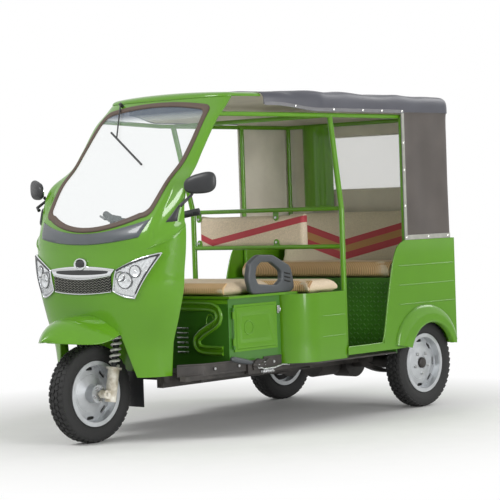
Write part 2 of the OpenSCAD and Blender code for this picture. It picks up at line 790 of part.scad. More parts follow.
// Tube frame: door posts, partition bars, roof rails and rear posts
post_x = 546;
post_y = cabin(0.4);
roof_bend = post_y - 225;
post_r = 15;
knee_z = floor_z + 799;
bar_zs = [floor_z + 594, knee_z];
rail_z = hem_z - 22;
roof_x = half_w - 35;
roof_front_z = frame_top - 90;
roof_in = 11;
roof_front = [
  front_half(roof_front_z) - skin_t - tube_r - roof_in, front_edge(roof_front_z) - 4, roof_front_z
];
edge_post_x = half_w - 20;
edge_post_y = curtain_front + 14;
seat_deck = floor_z + 406;
column_x = -366;
column_y = panel_back - 6;
column_r = 150;
column_half = 115;
column_depth = sqrt(pow(column_r, 2) - pow(column_half, 2));
column_low = floor_z + 806;
module body_frame() color(green) {
  both_sides() {
    pipe_run([[post_x, post_y, floor_z], [post_x, post_y, knee_z], [roof_x, post_y - 112, rail_z]], post_r);
    pipe_run([roof_front, [roof_x, roof_bend, rail_z], [roof_x, panel_back - 30, rail_z],
      [roof_x, panel_back - 30, floor_z + 420]], tube_r);
  }
  for (z = bar_zs) tube([-post_x, post_y, z], [post_x, post_y, z], tube_r);
  for (y = [post_y - 112, panel_back - 30]) tube([-roof_x, y, rail_z], [roof_x, y, rail_z], tube_r);
  // Posts along the curtains' front edges, on the rear seat's deck
  for (s = [-1, 1])
    tube([s * edge_post_x, edge_post_y, seat_deck + seat_gap], [s * edge_post_x, edge_post_y, rail_z], tube_r);
  // Bowed panel behind the right end of the rear seat
  translate([column_x, column_y + column_depth, column_low])
    linear_extrude(rail_z - column_low) difference() {
      circle(r = column_r);
      circle(r = column_r - skin_t);
      translate([-column_r, -column_depth])
        square([2 * column_r, 3 * column_r]);
    }
}

// Seat boxes
door_low = floor_z + 88;
door_back = driver_back - 34;
door_x = driver_half + 1.5;
door_t = 5;
hinge_at = [driver_half + 10, door_back - door_w - 10];
knuckle_r = 7;
knuckle_l = 36;
knuckle_z = [door_low + 34, door_low + door_h - 34 - knuckle_l];
lug_gap = 5;
lug_l = 14;
module driver_seat_box() color(green) {
  difference() {
    block([-driver_half, driver_front, floor_z], [driver_half, driver_back, seat_top_z]);
    block([-driver_half + sheet_t, driver_front + sheet_t, floor_z - 1],
      [driver_half - sheet_t, driver_back - sheet_t, seat_top_z - sheet_t]);
    // Doorway to the batteries
    block([driver_half - 2 * sheet_t, door_back - door_w + 20, door_low + 20],
      [driver_half + 1, door_back - 20, door_low + door_h - 20]);
    // Louvres and a bent groove in the front face
    for (i = [0 : 5])
      block([120, driver_front - 1, floor_z + 96 + 36 * i], [230, driver_front + 1.5, floor_z + 102 + 36 * i]);
  }
  // Lugs that hold the hinge pin
  for (z = [knuckle_z[0] - lug_gap - lug_l, knuckle_z[1] + knuckle_l + lug_gap])
    block([driver_half, hinge_at[1] - 6, z], [hinge_at[0] + 5, hinge_at[1] + 5, z + lug_l]);
  translate([hinge_at[0], hinge_at[1], knuckle_z[0] - lug_gap - lug_l / 2])
    cylinder(r = hinge_r, h = knuckle_z[1] - knuckle_z[0] + knuckle_l + 2 * lug_gap + lug_l);
}
module battery_door() color(green)
  difference() {
    union() {
      block([door_x, door_back - door_w, door_low], [door_x + door_t, door_back, door_low + door_h]);
      for (z = knuckle_z) {
        translate([hinge_at[0], hinge_at[1], z]) cylinder(r = knuckle_r, h = knuckle_l);
        block([door_x, hinge_at[1] + hinge_r, z], [door_x + door_t, door_back - door_w + 1, z + knuckle_l]);
      }
    }
    translate([hinge_at[0], hinge_at[1], 0]) cylinder(r = hinge_r + run_gap, h = 2 * seat_top_z);
    // Pressed panel in the middle of the door
    block([door_x + door_t - 2, door_back - door_w + 40, door_low + 40],
      [door_x + door_t + 1, door_back - 40, door_low + door_h - 40]);
  }
plate_front = driver_front - 10;
plate_back = driver_back + 122;
plate_half = driver_half + 20;
plate_z = seat_top_z + seat_gap;
module driver_seat_plate() color(green)
  block([-plate_half, plate_front, plate_z], [plate_half, plate_back, plate_z + plate_t]);
module battery_pack() color(black)
  block([-driver_half + 60, driver_front + 40, floor_z], [driver_half - 60, driver_back - 40, floor_z + 300]);

middle_corner = 180;
module middle_plan(grow) {
  w = half_w - 10 - grow;
  f = driver_back + seat_gap + grow;
  r = middle_corner - grow;
  translate([-w, f + r]) square([2 * w, middle_back - grow - f - r]);
  translate([-w + r, f]) square([2 * (w - r), middle_back - grow - f]);
  for (s = [-1, 1]) translate([s * (w - r), f + r]) circle(r = r);
}
module middle_seat_box() color(green)
  translate([0, 0, floor_z]) difference() {
    linear_extrude(seat_top_z - floor_z) middle_plan(0);
    translate([0, 0, -1]) linear_extrude(seat_top_z - floor_z - sheet_t + 1) middle_plan(sheet_t);
  }

seat_half = panel_in - seat_gap;
module rear_seat_box() color(green)
  across(-seat_half, seat_half) polygon([
    [seat_front, floor_z - floor_t], [seat_front, seat_deck], [panel_back, seat_deck],
    [panel_back, seat_deck - sheet_t],
    [seat_front + sheet_t, seat_deck - sheet_t], [seat_front + sheet_t, floor_z - floor_t]
  ]);

// Soft parts: crowned pads, flat below
module pad(lo, hi, r) {
  size = hi - lo;
  cols = [for (k = [-6 : 6]) sign(k) * (1 - pow(1 - abs(k) / 6, 2))];
  swell = function(a, b) rise(0.5 * size[0] * (1 - abs(a)), r, 2) * rise(0.5 * size[1] * (1 - abs(b)), r, 2);
  point = function(a, b, up) [
    lo[0] + size[0] * (a + 1) / 2,
    lo[1] + size[1] * (b + 1) / 2,
    up ? lo[2] + size[2] * mix(0.45, 1, swell(a, b)) : lo[2]
  ];
  grid_panel(
    [for (b = cols) [for (a = cols) point(a, b, true)]],
    [for (b = cols) [for (a = cols) point(a, b, false)]]
  );
}
pad_r = 45;
module driver_cushion() color(beige)
  pad([-driver_half + 32, driver_front + 4, plate_z + plate_t + seat_gap],
    [driver_half - 32, driver_back + 20, plate_z + plate_t + cushion_t], pad_r);
module middle_cushion() color(beige)
  pad([-half_w + 26, plate_back + 3, plate_z], [half_w - 26, middle_back + 4, plate_z + cushion_t], pad_r);
module rear_cushion() color(beige)
  pad([-half_w + 42, seat_front + 10, seat_deck + seat_gap],
    [half_w - 42, rest_front - 6, seat_deck + rear_cushion_t], pad_r);
rest_front = panel_back - 201;
rest_low = seat_deck + seat_gap;
rest_high = floor_z + 793;
module rear_backrest() color(beige)
  across(-half_w + 62, half_w - 62) polygon(concat(
    [[rest_front, rest_low], [rest_front + 114, rest_low]],
    arc([rest_front + 134, rest_high - 40], 40, 0, 180, 8)
  ));
// The front seats' backrest hangs behind the partition bars
middle_rest = [-530, 275];
middle_rest_t = 52;
middle_rest_r = 10;
middle_rest_y = post_y + tube_r + seat_gap;
module middle_backrest() color(beige) {
  y = [middle_rest_y + middle_rest_r, middle_rest_y + middle_rest_t - middle_rest_r];
  z = [bar_zs[0] - 4, bar_zs[1] - 26];
  across(middle_rest[0], middle_rest[1]) polygon(concat(
    arc([y[1], z[1]], middle_rest_r, 0, 90, 4), arc([y[0], z[1]], middle_rest_r, 90, 180, 4),
    arc([y[0], z[0]], middle_rest_r, 180, 270, 4), arc([y[1], z[0]], middle_rest_r, 270, 360, 4)
  ));
}

// Loop handles beside the driver
handle_t = 36;
handle_z = plate_z + plate_t + seat_gap;
// Columns: place behind the front axle, height over the seat plate
HANDLE_OUT = [[690, 0], [662, 80], [680, 165], [750, 203], [860, 198], [1002, 135], [1022, 60], [1030, 0]];
HANDLE_IN = [[742, 52], [722, 92], [734, 140], [768, 164], [850, 160], [925, 112], [925, 66], [880, 40]];
module armrest_handles() color(dark_grey) both_sides()
  translate([driver_half - handle_t / 2, 0, handle_z])
    across(0, handle_t) difference() {
      polygon([for (p = HANDLE_OUT) p + [front_y, 0]]);
      polygon([for (p = HANDLE_IN) p + [front_y, 0]]);
    }

// Parking brake on the left beam, and the foot pedal
brake_y = front_y + 640;
brake_x = driver_half + seat_gap;
module brake_controls() color(dark_grey) {
  // Bracket under the floor's edge, ratchet plate and lever
  block([beam_x[1] + seat_gap, brake_y, beam_low], [brake_x + 8, brake_y + 130, rail_top - seat_gap]);
  block([brake_x, brake_y, beam_low], [brake_x + 16, brake_y + 130, rail_top + 46]);
  tube([brake_x + 8, brake_y + 90, rail_top + 20], [brake_x + 8, brake_y - 110, rail_top + 62], 7);
  // Foot pedal on its stalk
  block([-160, shield_low_y + 70, floor_z + seat_gap], [-110, shield_low_y + 78, floor_z + 68]);
  block([-175, shield_low_y + 60, floor_z + 66], [-95, shield_low_y + 90, floor_z + 78]);
}

// Rear axle, motor and springs
drum_backing_r = 112;
stub_end = track / 2 + 26;
module along_x(x0, x1) translate([x0, 0, 0]) rotate([0, 90, 0]) linear_extrude(x1 - x0) children();
module rear_axle() color(dark_grey) translate([0, rear_y, tyre_r])
  difference() {
    union() {
      along_x(-plate_x, plate_x) circle(r = axle_tube_r);
      both_sides() {
        along_x(plate_x - 8, plate_x) circle(r = drum_backing_r);
        along_x(plate_x - 1, stub_end) circle(r = stub_r);
      }
      rotate([0, 90, 0]) cylinder(r = hub_r, h = 130, center = true);
    }
    // Seat of the motor's nose
    translate([-40, 0, 0]) rotate([90, 0, 0]) cylinder(r = 30, h = 200);
  }
module traction_motor() color(dark_grey)
  translate([-40, rear_y, tyre_r]) rotate([90, 0, 0]) {
    cylinder(r = 30 - seat_gap, h = 130);
    translate([0, 0, hub_r + seat_gap]) cylinder(r = motor_r, h = motor_l);
  }
leaf_w = 44;
leaf_t = 22;
leaf_half = 240;
leaf_top = tyre_r - axle_tube_r - seat_gap;
leaf_rise = rail_low - seat_gap - leaf_top;
function leaf_line(z, u0, u1) =
  [for (t = steps(12)) let (u = mix(u0, u1, t)) [rear_y + u * leaf_half, z + leaf_rise * u * u]];
module leaf_springs() color(black) both_sides()
  across(spring_out - leaf_w - 3, spring_out - 3)
    polygon(concat(leaf_line(leaf_top - leaf_t, -1, 1), leaf_line(leaf_top, 1, -1)));

// Steering: stem, clamp, fork, springs and handlebar
leg_back = 46;
leg_y = leg_back - fork_offset;
clamp_low = 430;
clamp_high = 455;
stem_top = 880;
module steering_stem() color(dark_grey) on_steering()
  difference() {
    union() {
      translate([0, 0, clamp_low]) cylinder(r = stem_r, h = stem_top - clamp_low);
      translate([0, 0, clamp_low]) linear_extrude(clamp_high - clamp_low) {
        circle(r = 40);
        translate([-fork_w / 2, leg_y - 30]) square([fork_w, 60]);
        for (s = [-1, 1]) translate([s * fork_w / 2, leg_y]) circle(r = 34);
      }
    }
    for (s = [-1, 1]) translate([s * fork_w / 2, leg_y, clamp_low - 1])
      cylinder(r = rod_r + run_gap, h = 100);
  }
rod_r = 15;
collar_l = 130;
collar_t = 10;
spring_top = 326;
cover_r = 31;
axle_lug_r = 21;
lug_half = 19;
module fork_legs() color(cream) on_steering() {
  both_sides() translate([fork_w / 2, leg_y, 0]) {
    translate([0, 0, -34]) cylinder(r = slider_r, h = collar_l + 34);
    translate([0, 0, collar_l]) cylinder(r = 40, h = collar_t);
    cylinder(r = rod_r, h = clamp_high + 12);
    translate([0, 0, spring_top]) cylinder(r = cover_r, h = clamp_low - seat_gap - spring_top);
  }
  // Lugs ahead of the sliders' feet carry the axle
  both_sides() along_x(fork_w / 2 - lug_half, fork_w / 2 + lug_half) {
    translate([0, -fork_offset]) circle(r = axle_lug_r);
    translate([-axle_lug_r, -fork_offset]) square([2 * axle_lug_r, leg_back]);
  }
  translate([0, -fork_offset, 0])
    along_x(-fork_w / 2 - 34, fork_w / 2 + 34) circle(r = front_axle_r);
}
helix_steps = 12;
helix_sides = 6;
module fork_springs() color(silver) on_steering() both_sides() translate([fork_w / 2, leg_y, 0]) {
  low = collar_l + collar_t + spring_wire_r + seat_gap;
  high = spring_top - spring_wire_r - seat_gap;
  rc = spring_r - spring_wire_r;
  n = spring_turns * helix_steps;
  k = helix_sides;
  points = [
    for (i = [0 : n]) let (a = 360 * i / helix_steps)
      for (j = [0 : k - 1]) let (b = 360 * j / k, r = rc + spring_wire_r * cos(b))
        [r * cos(a), r * sin(a), mix(low, high, i / n) + spring_wire_r * sin(b)]
  ];
  faces = concat(
    [for (i = [0 : n - 1]) for (j = [0 : k - 1])
      let (p = i * k + j, q = i * k + (j + 1) % k)
      each [[p, q, q + k], [p, q + k, p + k]]],
    [[for (j = [k - 1 : -1 : 0]) j], [for (j = [0 : k - 1]) n * k + j]]
  );
  polyhedron(points = points, faces = faces);
}
bar_mid = steer_point(0, 0, stem_top + seat_gap + bar_r + 4);
bar_bend = [90, front_y + 352, floor_z + 756];
bar_neck = [200, front_y + 400, floor_z + 778];
bar_end = [342, front_y + 482, floor_z + 808];
module handlebar() color(black) {
  both_sides() {
    pipe_run([bar_mid, bar_bend, bar_neck, bar_end], bar_r);
    tube(mix(bar_neck, bar_end, 0.15), bar_end, grip_r);
    tube(mix(bar_neck, bar_end, -0.12), mix(bar_neck, bar_end, 0.12), 24);
    // Brake lever ahead of the grip
    pipe_run([bar_neck + [0, -20, 0], mix(bar_neck, bar_end, 0.3) + [0, -46, -4],
      mix(bar_neck, bar_end, 0.95) + [0, -42, -8]], 6);
  }
  // Clamp round the stem's top
  on_steering() translate([0, 0, stem_top + seat_gap]) cylinder(r = 34, h = 30);
}

// Wheels
bead_half = tyre_w / 2 - 13;
rim_bed = rim_r - 15;
flange_t = 5;
tyre_side = [
  [rim_bed + seat_gap, bead_half], [rim_r + 2, bead_half], [mix(rim_r, tyre_r, 0.25), tyre_w / 2 - 4],
  [mix(rim_r, tyre_r, 0.5), tyre_w / 2], [mix(rim_r, tyre_r, 0.75), tyre_w / 2 - 2],
  [tyre_r - 8, tyre_w / 2 - 9], [tyre_r - 2, tyre_w / 2 - 20], [tyre_r, tyre_w / 2 - 38]
];
module tyre() rotate([0, 90, 0]) rotate_extrude($fn = 96)
  polygon(concat(
    tyre_side,
    [for (i = [len(tyre_side) - 1 : -1 : 0]) [tyre_side[i][0], -tyre_side[i][1]]]
  ));
// Rim bed with flanges, slotted disc and hub; the disc stands off the middle by disc_x
module rim(bore_r, hub_lo, hub_hi, disc_x, drum_lo, drum_hi) {
  slot_r = 124;
  slot_half = 15;
  slot_w = 17;
  disc_t = 6;
  difference() {
    rotate([0, 90, 0]) rotate_extrude($fn = 96) union() {
      polygon([
        [rim_bed - 6, -bead_half - seat_gap - flange_t], [rim_r, -bead_half - seat_gap - flange_t],
        [rim_r, -bead_half - seat_gap], [rim_bed, -bead_half - seat_gap], [rim_bed, bead_half + seat_gap],
        [rim_r, bead_half + seat_gap], [rim_r, bead_half + seat_gap + flange_t],
        [rim_bed - 6, bead_half + seat_gap + flange_t]
      ]);
      polygon([[bore_r, hub_lo], [46, hub_lo], [46, hub_hi], [bore_r, hub_hi]]);
      polygon([
        [40, disc_x - disc_t], [78, disc_x - disc_t - 10], [rim_bed - 3, disc_x - disc_t - 22],
        [rim_bed - 3, disc_x - 22], [80, disc_x - 8], [40, disc_x]
      ]);
      polygon([[44, drum_lo], [100, drum_lo], [100, drum_hi], [44, drum_hi]]);
    }
    for (i = [0 : slot_count - 1]) rotate([360 * i / slot_count, 0, 0])
      along_x(disc_x - 40, disc_x + 20) {
        for (t = [-1, 1]) translate([-slot_r, t * slot_half]) circle(r = slot_w / 2);
        translate([-slot_r - slot_w / 2, -slot_half]) square([slot_w, 2 * slot_half]);
      }
  }
}
wheel_c = [0, front_y, tyre_r];
module front_tyre() color(black) translate(wheel_c) tyre();
module front_rim() color(silver) translate(wheel_c)
  rim(front_axle_r + run_gap, -62, 62, 12, -48, -14);
module rear_tyre(side) color(black) translate([side * track / 2, rear_y, tyre_r]) tyre();
module rear_rim(side) color(silver) translate([0, rear_y, tyre_r]) mirror([side < 0 ? 1 : 0, 0, 0])
  translate([track / 2, 0, 0]) rim(stub_r + run_gap, -70, 20, 24, -66, -16);
module rear_tyre_left() rear_tyre(1);
module rear_rim_left() rear_rim(1);
module rear_tyre_right() rear_tyre(-1);
module rear_rim_right() rear_rim(-1);

chassis_rails();
cross_members();
side_beams();
head_frame();
floor_pan();
front_cowl();
cowl_band();
windscreen_frame();
windscreen_seal();
windscreen_glass();
roof_hood();
headlamp_housings();
headlamp_lenses();
grille_mesh();
grille_trim();
front_mudguard();
mirrors();
wiper();
leg_shield();
dashboard();
mudflap();
body_frame();
canopy_cover();
curtains();
rear_window();
rear_side_panels();
rear_panel();
rear_fenders();
rear_lamps();
rear_seat_box();
middle_seat_box();
driver_seat_box();
driver_seat_plate();
battery_pack();
driver_cushion();
middle_cushion();
middle_backrest();
rear_cushion();
rear_backrest();
armrest_handles();
brake_controls();
rear_axle();
traction_motor();
leaf_springs();
battery_door();
steering_stem();
fork_legs();
fork_springs();
handlebar();
front_tyre();
front_rim();
rear_tyre_left();
rear_rim_left();
rear_tyre_right();
rear_rim_right();
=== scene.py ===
"""Looks of an electric passenger tricycle. Front is -Y, its left side is +X; sizes are in millimetres."""
import logging
import math
from dataclasses import dataclass
from enum import Enum
from typing import Callable, Sequence

import bmesh
import bpy
import numpy as np
from mathutils import Matrix, Vector


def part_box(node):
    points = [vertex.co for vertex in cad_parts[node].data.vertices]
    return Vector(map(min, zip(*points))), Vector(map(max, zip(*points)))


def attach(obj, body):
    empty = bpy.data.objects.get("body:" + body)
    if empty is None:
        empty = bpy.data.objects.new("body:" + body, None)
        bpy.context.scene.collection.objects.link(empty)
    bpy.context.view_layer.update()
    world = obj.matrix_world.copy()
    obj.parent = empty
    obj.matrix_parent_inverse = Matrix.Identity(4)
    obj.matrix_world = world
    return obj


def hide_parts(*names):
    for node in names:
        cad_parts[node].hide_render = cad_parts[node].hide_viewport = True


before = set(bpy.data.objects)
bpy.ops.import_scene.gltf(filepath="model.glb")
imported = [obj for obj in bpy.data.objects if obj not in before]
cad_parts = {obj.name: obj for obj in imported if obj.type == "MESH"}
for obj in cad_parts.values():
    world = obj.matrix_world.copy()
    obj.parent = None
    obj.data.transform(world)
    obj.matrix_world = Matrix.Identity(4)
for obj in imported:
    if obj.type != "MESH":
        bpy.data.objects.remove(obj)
log = logging.getLogger("tricycle")
Array, Object, Tree, Socket = np.ndarray, bpy.types.Object, bpy.types.NodeTree, bpy.types.NodeSocket
Pair = tuple[float, float]

MM = 0.001
HALF_L, HALF_W = 1318.0, 610.0
FLOOR_Z, BELT_Z, HEM_Z = 334.0, 944.0, 1650.0
FRONT_Y, REAR_Y = -1000.0, 1057.0
TYRE_R, TRACK = 246.5, 1034.0
HOOD_HALF = 492.0
ORIGIN, ACROSS, UP = (0, 0, 0), (1, 0, 0), (0, 0, 1)
FULL_TURN = 2 * math.pi


class Side(Enum):
    """The two sides of the vehicle."""

    LEFT = 1
    RIGHT = -1

    @property
    def tag(self) -> str:
        """Returns the side's word in the names of pieces."""
        return self.name.lower()

    @property
    def flip(self) -> Array:
        """Returns the factors that turn a point of the left side to this side."""
        return np.array([self.value, 1, 1])

    def stands_for(self, node: str) -> list[str]:
        """Returns the CAD node of a pair for the left piece, which replaces both."""
        return [node] if self is Side.LEFT else []


def linear(code: str, gain: float = 1.0) -> tuple[float, float, float, float]:
    """Turns an sRGB hex colour to linear light.

    Args:
        code: colour such as "#5c9427".
        gain: factor on the linear values.

    Returns:
        Red, green, blue and an alpha of one.
    """
    parts = [int(code[i:i + 2], 16) / 255 for i in (1, 3, 5)]
    light = [p / 12.92 if p <= 0.04045 else ((p + 0.055) / 1.055) ** 2.4 for p in parts]
    return (*[min(1.0, v * gain) for v in light], 1.0)


def add_node(tree: Tree, kind: str, inputs: dict | None = None,
             **settings: object) -> bpy.types.Node:
    """Adds a node with its settings, values and links.

    Args:
        tree: tree that takes the node.
        kind: Blender's name of the node type.
        inputs: value or output socket for each input, by name or number.
        settings: the node's own properties.

    Returns:
        The new node.
    """
    node = tree.nodes.new(kind)
    for key, value in settings.items():
        setattr(node, key, value)
    for key, value in (inputs or {}).items():
        if isinstance(value, Socket):
            tree.links.new(value, node.inputs[key])
        else:
            node.inputs[key].default_value = value
    return node


COORDINATES, SPLIT, LIGHT_PATH = "ShaderNodeTexCoord", "ShaderNodeSeparateXYZ", "ShaderNodeLightPath"
NOISE, RANGE, MATH, MIX = "ShaderNodeTexNoise", "ShaderNodeMapRange", "ShaderNodeMath", "ShaderNodeMix"
MIX_A, MIX_B, MIX_OUT = 6, 7, 2


@dataclass(frozen=True)
class Finish:
    """A surface with a colour that drifts in patches and a fine grain.

    Attributes:
        name: common name of the material.
        colour: sRGB hex of its middle tone.
        slot: the record's material slot of pieces that have this finish.
        roughness: of the surface between its grains.
        metallic: one for bare metal.
        drift: share by which the colour drifts in patches.
        patch_mm: size of these patches.
        grain_mm: size of the grain.
        grain: strength of the grain's relief.
        coat: weight of a clear lacquer.
        specular: level of the base's own reflection.
        soil: colour that gathers in the patches, or none.
        coat_roughness: of the lacquer.
        gloss_drift: share by which the roughness drifts with the patches.
        gloss_band: noise values between which the roughness drifts.
        patch_band: noise values between which the colour drifts.
        grain_depth: depth of the grain as a share of its size.
    """

    name: str
    colour: str
    slot: str = ""
    roughness: float = 0.5
    metallic: float = 0.0
    drift: float = 0.08
    patch_mm: float = 140.0
    grain_mm: float = 2.0
    grain: float = 0.06
    coat: float = 0.0
    specular: float = 0.5
    soil: str = ""
    coat_roughness: float = 0.06
    gloss_drift: float = 0.1
    gloss_band: Pair = (0.3, 0.7)
    patch_band: Pair = (0.35, 0.65)
    grain_depth: float = 0.25

    def material(self) -> bpy.types.Material:
        """Returns the Blender material, made once."""
        made = bpy.data.materials.get(self.name)
        if made is None:
            made = bpy.data.materials.new(self.name)
            made.use_nodes = True
            shader = made.node_tree.nodes["Principled BSDF"]
            for key, value in (("Metallic", self.metallic), ("Specular IOR Level", self.specular),
                               ("Coat Weight", self.coat), ("Coat Roughness", self.coat_roughness)):
                shader.inputs[key].default_value = value
            self.paint(made.node_tree, shader)
        return made

    def paint(self, tree: Tree, shader: bpy.types.Node) -> None:
        """Adds colour patches, uneven gloss and grain.

        Args:
            tree: the material's tree.
            shader: its main shader.
        """
        where = add_node(tree, COORDINATES).outputs["Object"]
        patches = add_node(tree, NOISE, {"Vector": where, "Scale": 1 / (self.patch_mm * MM), "Detail": 3.0})
        slow = patches.outputs["Fac"]
        tree.links.new(self.tones(tree, where, slow), shader.inputs["Base Color"])
        gloss = add_node(tree, RANGE, {
            "Value": slow, "From Min": self.gloss_band[0], "From Max": self.gloss_band[1],
            "To Min": self.roughness * (1 - self.gloss_drift),
            "To Max": self.roughness * (1 + self.gloss_drift)})
        tree.links.new(gloss.outputs["Result"], shader.inputs["Roughness"])
        fine = add_node(tree, NOISE, {"Vector": where, "Scale": 1 / (self.grain_mm * MM), "Detail": 2.0})
        relief = add_node(tree, "ShaderNodeBump", {"Height": fine.outputs["Fac"], "Strength": self.grain,
                                                   "Distance": self.grain_depth * self.grain_mm * MM})
        tree.links.new(relief.outputs["Normal"], shader.inputs["Normal"])

    def tones(self, tree: Tree, where: Socket,
              patches: Socket) -> Socket:
        """Gives the colour.

        Args:
            tree: the material's tree.
            where: Object coordinates.
            patches: slow noise from 0 to 1.

        Returns:
            Socket of the colour.
        """
        share = add_node(tree, RANGE, {"Value": patches, "From Min": self.patch_band[0],
                                       "From Max": self.patch_band[1]})
        dark = linear(self.soil) if self.soil else linear(self.colour, 1 - self.drift)
        mixed = add_node(tree, MIX, {0: share.outputs["Result"], MIX_A: dark,
                                     MIX_B: linear(self.colour, 1 + self.drift)}, data_type="RGBA")
        return mixed.outputs[MIX_OUT]


@dataclass(frozen=True)
class Clear(Finish):
    """Clear glass or plastic that lets light straight through.

    Attributes:
        opacity: share of light that it stops.
        shade_from_mm: height at which a sun strip starts, or zero for none.
        shade_fade_mm: height over which the strip sets in.
        shade_opacity: share of light that the strip stops.
        shade_colour: of the strip.
    """

    opacity: float = 0.2
    shade_from_mm: float = 0.0
    shade_fade_mm: float = 45.0
    shade_opacity: float = 0.72
    shade_colour: str = "#5d6b7c"

    def paint(self, tree: Tree, shader: bpy.types.Node) -> None:
        """Sets a thin clear body, with a sun strip where there is one."""
        shader.inputs["Base Color"].default_value = linear(self.colour)
        shader.inputs["Roughness"].default_value = self.roughness
        shader.inputs["Alpha"].default_value = self.opacity
        if self.shade_from_mm:
            where = add_node(tree, COORDINATES).outputs["Object"]
            band = {"Value": add_node(tree, SPLIT, {0: where}).outputs["Z"],
                    "From Min": self.shade_from_mm * MM,
                    "From Max": (self.shade_from_mm + self.shade_fade_mm) * MM}
            strip = add_node(tree, RANGE, {**band, "To Min": self.opacity, "To Max": self.shade_opacity})
            tree.links.new(strip.outputs["Result"], shader.inputs["Alpha"])
            tone = add_node(tree, RANGE, band)
            mixed = add_node(tree, MIX, {0: tone.outputs["Result"], MIX_A: linear(self.colour),
                                         MIX_B: linear(self.shade_colour)}, data_type="RGBA")
            tree.links.new(mixed.outputs[MIX_OUT], shader.inputs["Base Color"])


@dataclass(frozen=True)
class Upholstery(Finish):
    """Woven-look vinyl with mottled threads, ribs marked by an attribute with painted shade in their grooves,
    and zigzag stripes.

    Attributes:
        bend: x and z of the zigzag's bend in mm, or none for a plain cover.
        rises: slopes of the zigzag to the right and to the left of its bend.
        bands: lower and upper edge of each stripe below the zigzag, with its colour.
        thread_mm: size of the mottling, drawn as coarse as it needs to show.
        thread_band: noise values between which the threads change tone.
        thread_gains: factors on the colour for dark and light threads.
        groove_colour: painted shade in the grooves between the ribs, a brown darker than their tan.
        crest_colour: on the ribs.
    """

    bend: Pair | None = None
    rises: Pair = (0.25, 0.25)
    bands: tuple[tuple[float, float, str], ...] = ()
    thread_mm: float = 5.0
    thread_band: Pair = (0.35, 0.68)
    thread_gains: Pair = (0.84, 1.08)
    groove_colour: str = "#8a6238"
    crest_colour: str = "#dbb887"

    def tones(self, tree: Tree, where: Socket,
              patches: Socket) -> Socket:
        """Gives mottled beige, tan ribs with painted shade in the grooves between them, and red stripes."""
        speck = add_node(tree, NOISE, {"Vector": where, "Scale": 1 / (self.thread_mm * MM), "Detail": 4.0})
        share = add_node(tree, RANGE, {"Value": speck.outputs["Fac"], "From Min": self.thread_band[0],
                                       "From Max": self.thread_band[1]})
        dark, light = (linear(self.colour, gain) for gain in self.thread_gains)
        mixed = add_node(tree, MIX, {0: share.outputs["Result"], MIX_A: dark, MIX_B: light}, data_type="RGBA")
        if self.bend:
            height = self.zigzag_height(tree, where)
            for low, high, tone in self.bands:
                middle, half = (self.bend[1] + (low + high) / 2) * MM, (high - low) / 2 * MM
                inside = add_node(tree, MATH, {0: height, 1: middle, 2: half}, operation="COMPARE")
                mixed = add_node(tree, MIX, {0: inside.outputs[0], MIX_A: mixed.outputs[MIX_OUT],
                                             MIX_B: linear(tone)}, data_type="RGBA")
        ribs = add_node(tree, "ShaderNodeAttribute", attribute_name="rib").outputs["Fac"]
        # Rib values near 0.5 give the grooves painted shade; near 1 the crests take the ribs' tan.
        for limit, tone in (({"From Max": 0.5}, self.groove_colour), ({"From Min": 0.5}, self.crest_colour)):
            share = add_node(tree, RANGE, {"Value": ribs, **limit})
            mixed = add_node(tree, MIX, {0: share.outputs["Result"], MIX_A: mixed.outputs[MIX_OUT],
                                         MIX_B: linear(tone)}, data_type="RGBA")
        return mixed.outputs[MIX_OUT]

    def zigzag_height(self, tree: Tree, where: Socket) -> Socket:
        """Gives the height over the zigzag line, less the height of its bend.

        Args:
            tree: the material's tree.
            where: Object coordinates.

        Returns:
            Socket of the height in metres.
        """
        parts = add_node(tree, SPLIT, {0: where})
        off = add_node(tree, MATH, {0: parts.outputs["X"], 1: self.bend[0] * MM}, operation="SUBTRACT")
        right, left = (add_node(tree, MATH, {0: off.outputs[0], 1: slope}, operation="MULTIPLY")
                       for slope in (self.rises[0], -self.rises[1]))
        line = add_node(tree, MATH, {0: right.outputs[0], 1: left.outputs[0]}, operation="MAXIMUM")
        over = add_node(tree, MATH, {0: parts.outputs["Z"], 1: line.outputs[0]}, operation="SUBTRACT")
        return over.outputs[0]


# Real grains are finer than the render shows, so each grain_mm is as coarse as it needs to show.
# Sprayed enamel under lacquer: clear reflections over a fine orange peel.
GREEN = Finish("green_enamel", "#5d951a", "green_paint", roughness=0.34, drift=0.06, patch_mm=420, grain_mm=6,
               grain=0.03, coat=0.7, specular=0.15)
# The same enamel with painted shade, for the seat boxes' faces that lie in shade: darker in tone, with less
# lacquer.
SHADED_GREEN = Finish("green_enamel_pressed", "#3b721c", "green_paint", roughness=0.34, drift=0.1, patch_mm=260,
                    grain_mm=6, grain=0.04, coat=0.4)
# Brushed chassis black: half dull, with darker hollows.
CHASSIS = Finish("chassis_black", "#3d3936", "dark_paint", roughness=0.55, drift=0.2, patch_mm=90, grain_mm=3,
                 grain=0.2, soil="#2a2725")
# Extruded rubber: dull and a little brown from age.
SEAL = Finish("extruded_rubber", "#5a4b41", "seal_rubber", roughness=0.62, drift=0.1, patch_mm=60, grain_mm=1.5,
              grain=0.1)
# Sprayed gelcoat: an even grey with soft reflections.
BAND = Finish("grey_gelcoat", "#4d5358", "band_grey", roughness=0.32, drift=0.08, patch_mm=200, grain_mm=4,
              grain=0.04, coat=0.4)
# Moulded ABS: the mould's texture spreads its highlights.
BLACK_PLASTIC = Finish("moulded_abs_black", "#2b2c2e", "black_plastic", roughness=0.42, drift=0.1, grain_mm=1.2,
                       grain=0.12)
GREY_PLASTIC = Finish("moulded_abs_grey", "#474b4e", "grey_plastic", roughness=0.4, drift=0.1, grain_mm=1.4,
                      grain=0.1)
# Moulded ABS net: pale bars before a near-black backing, which is painted shade of the hollow behind them.
MESH_PLASTIC = Finish("grille_abs", "#77776f", "black_plastic", roughness=0.45, drift=0.1, grain_mm=1.2,
                      grain=0.06)
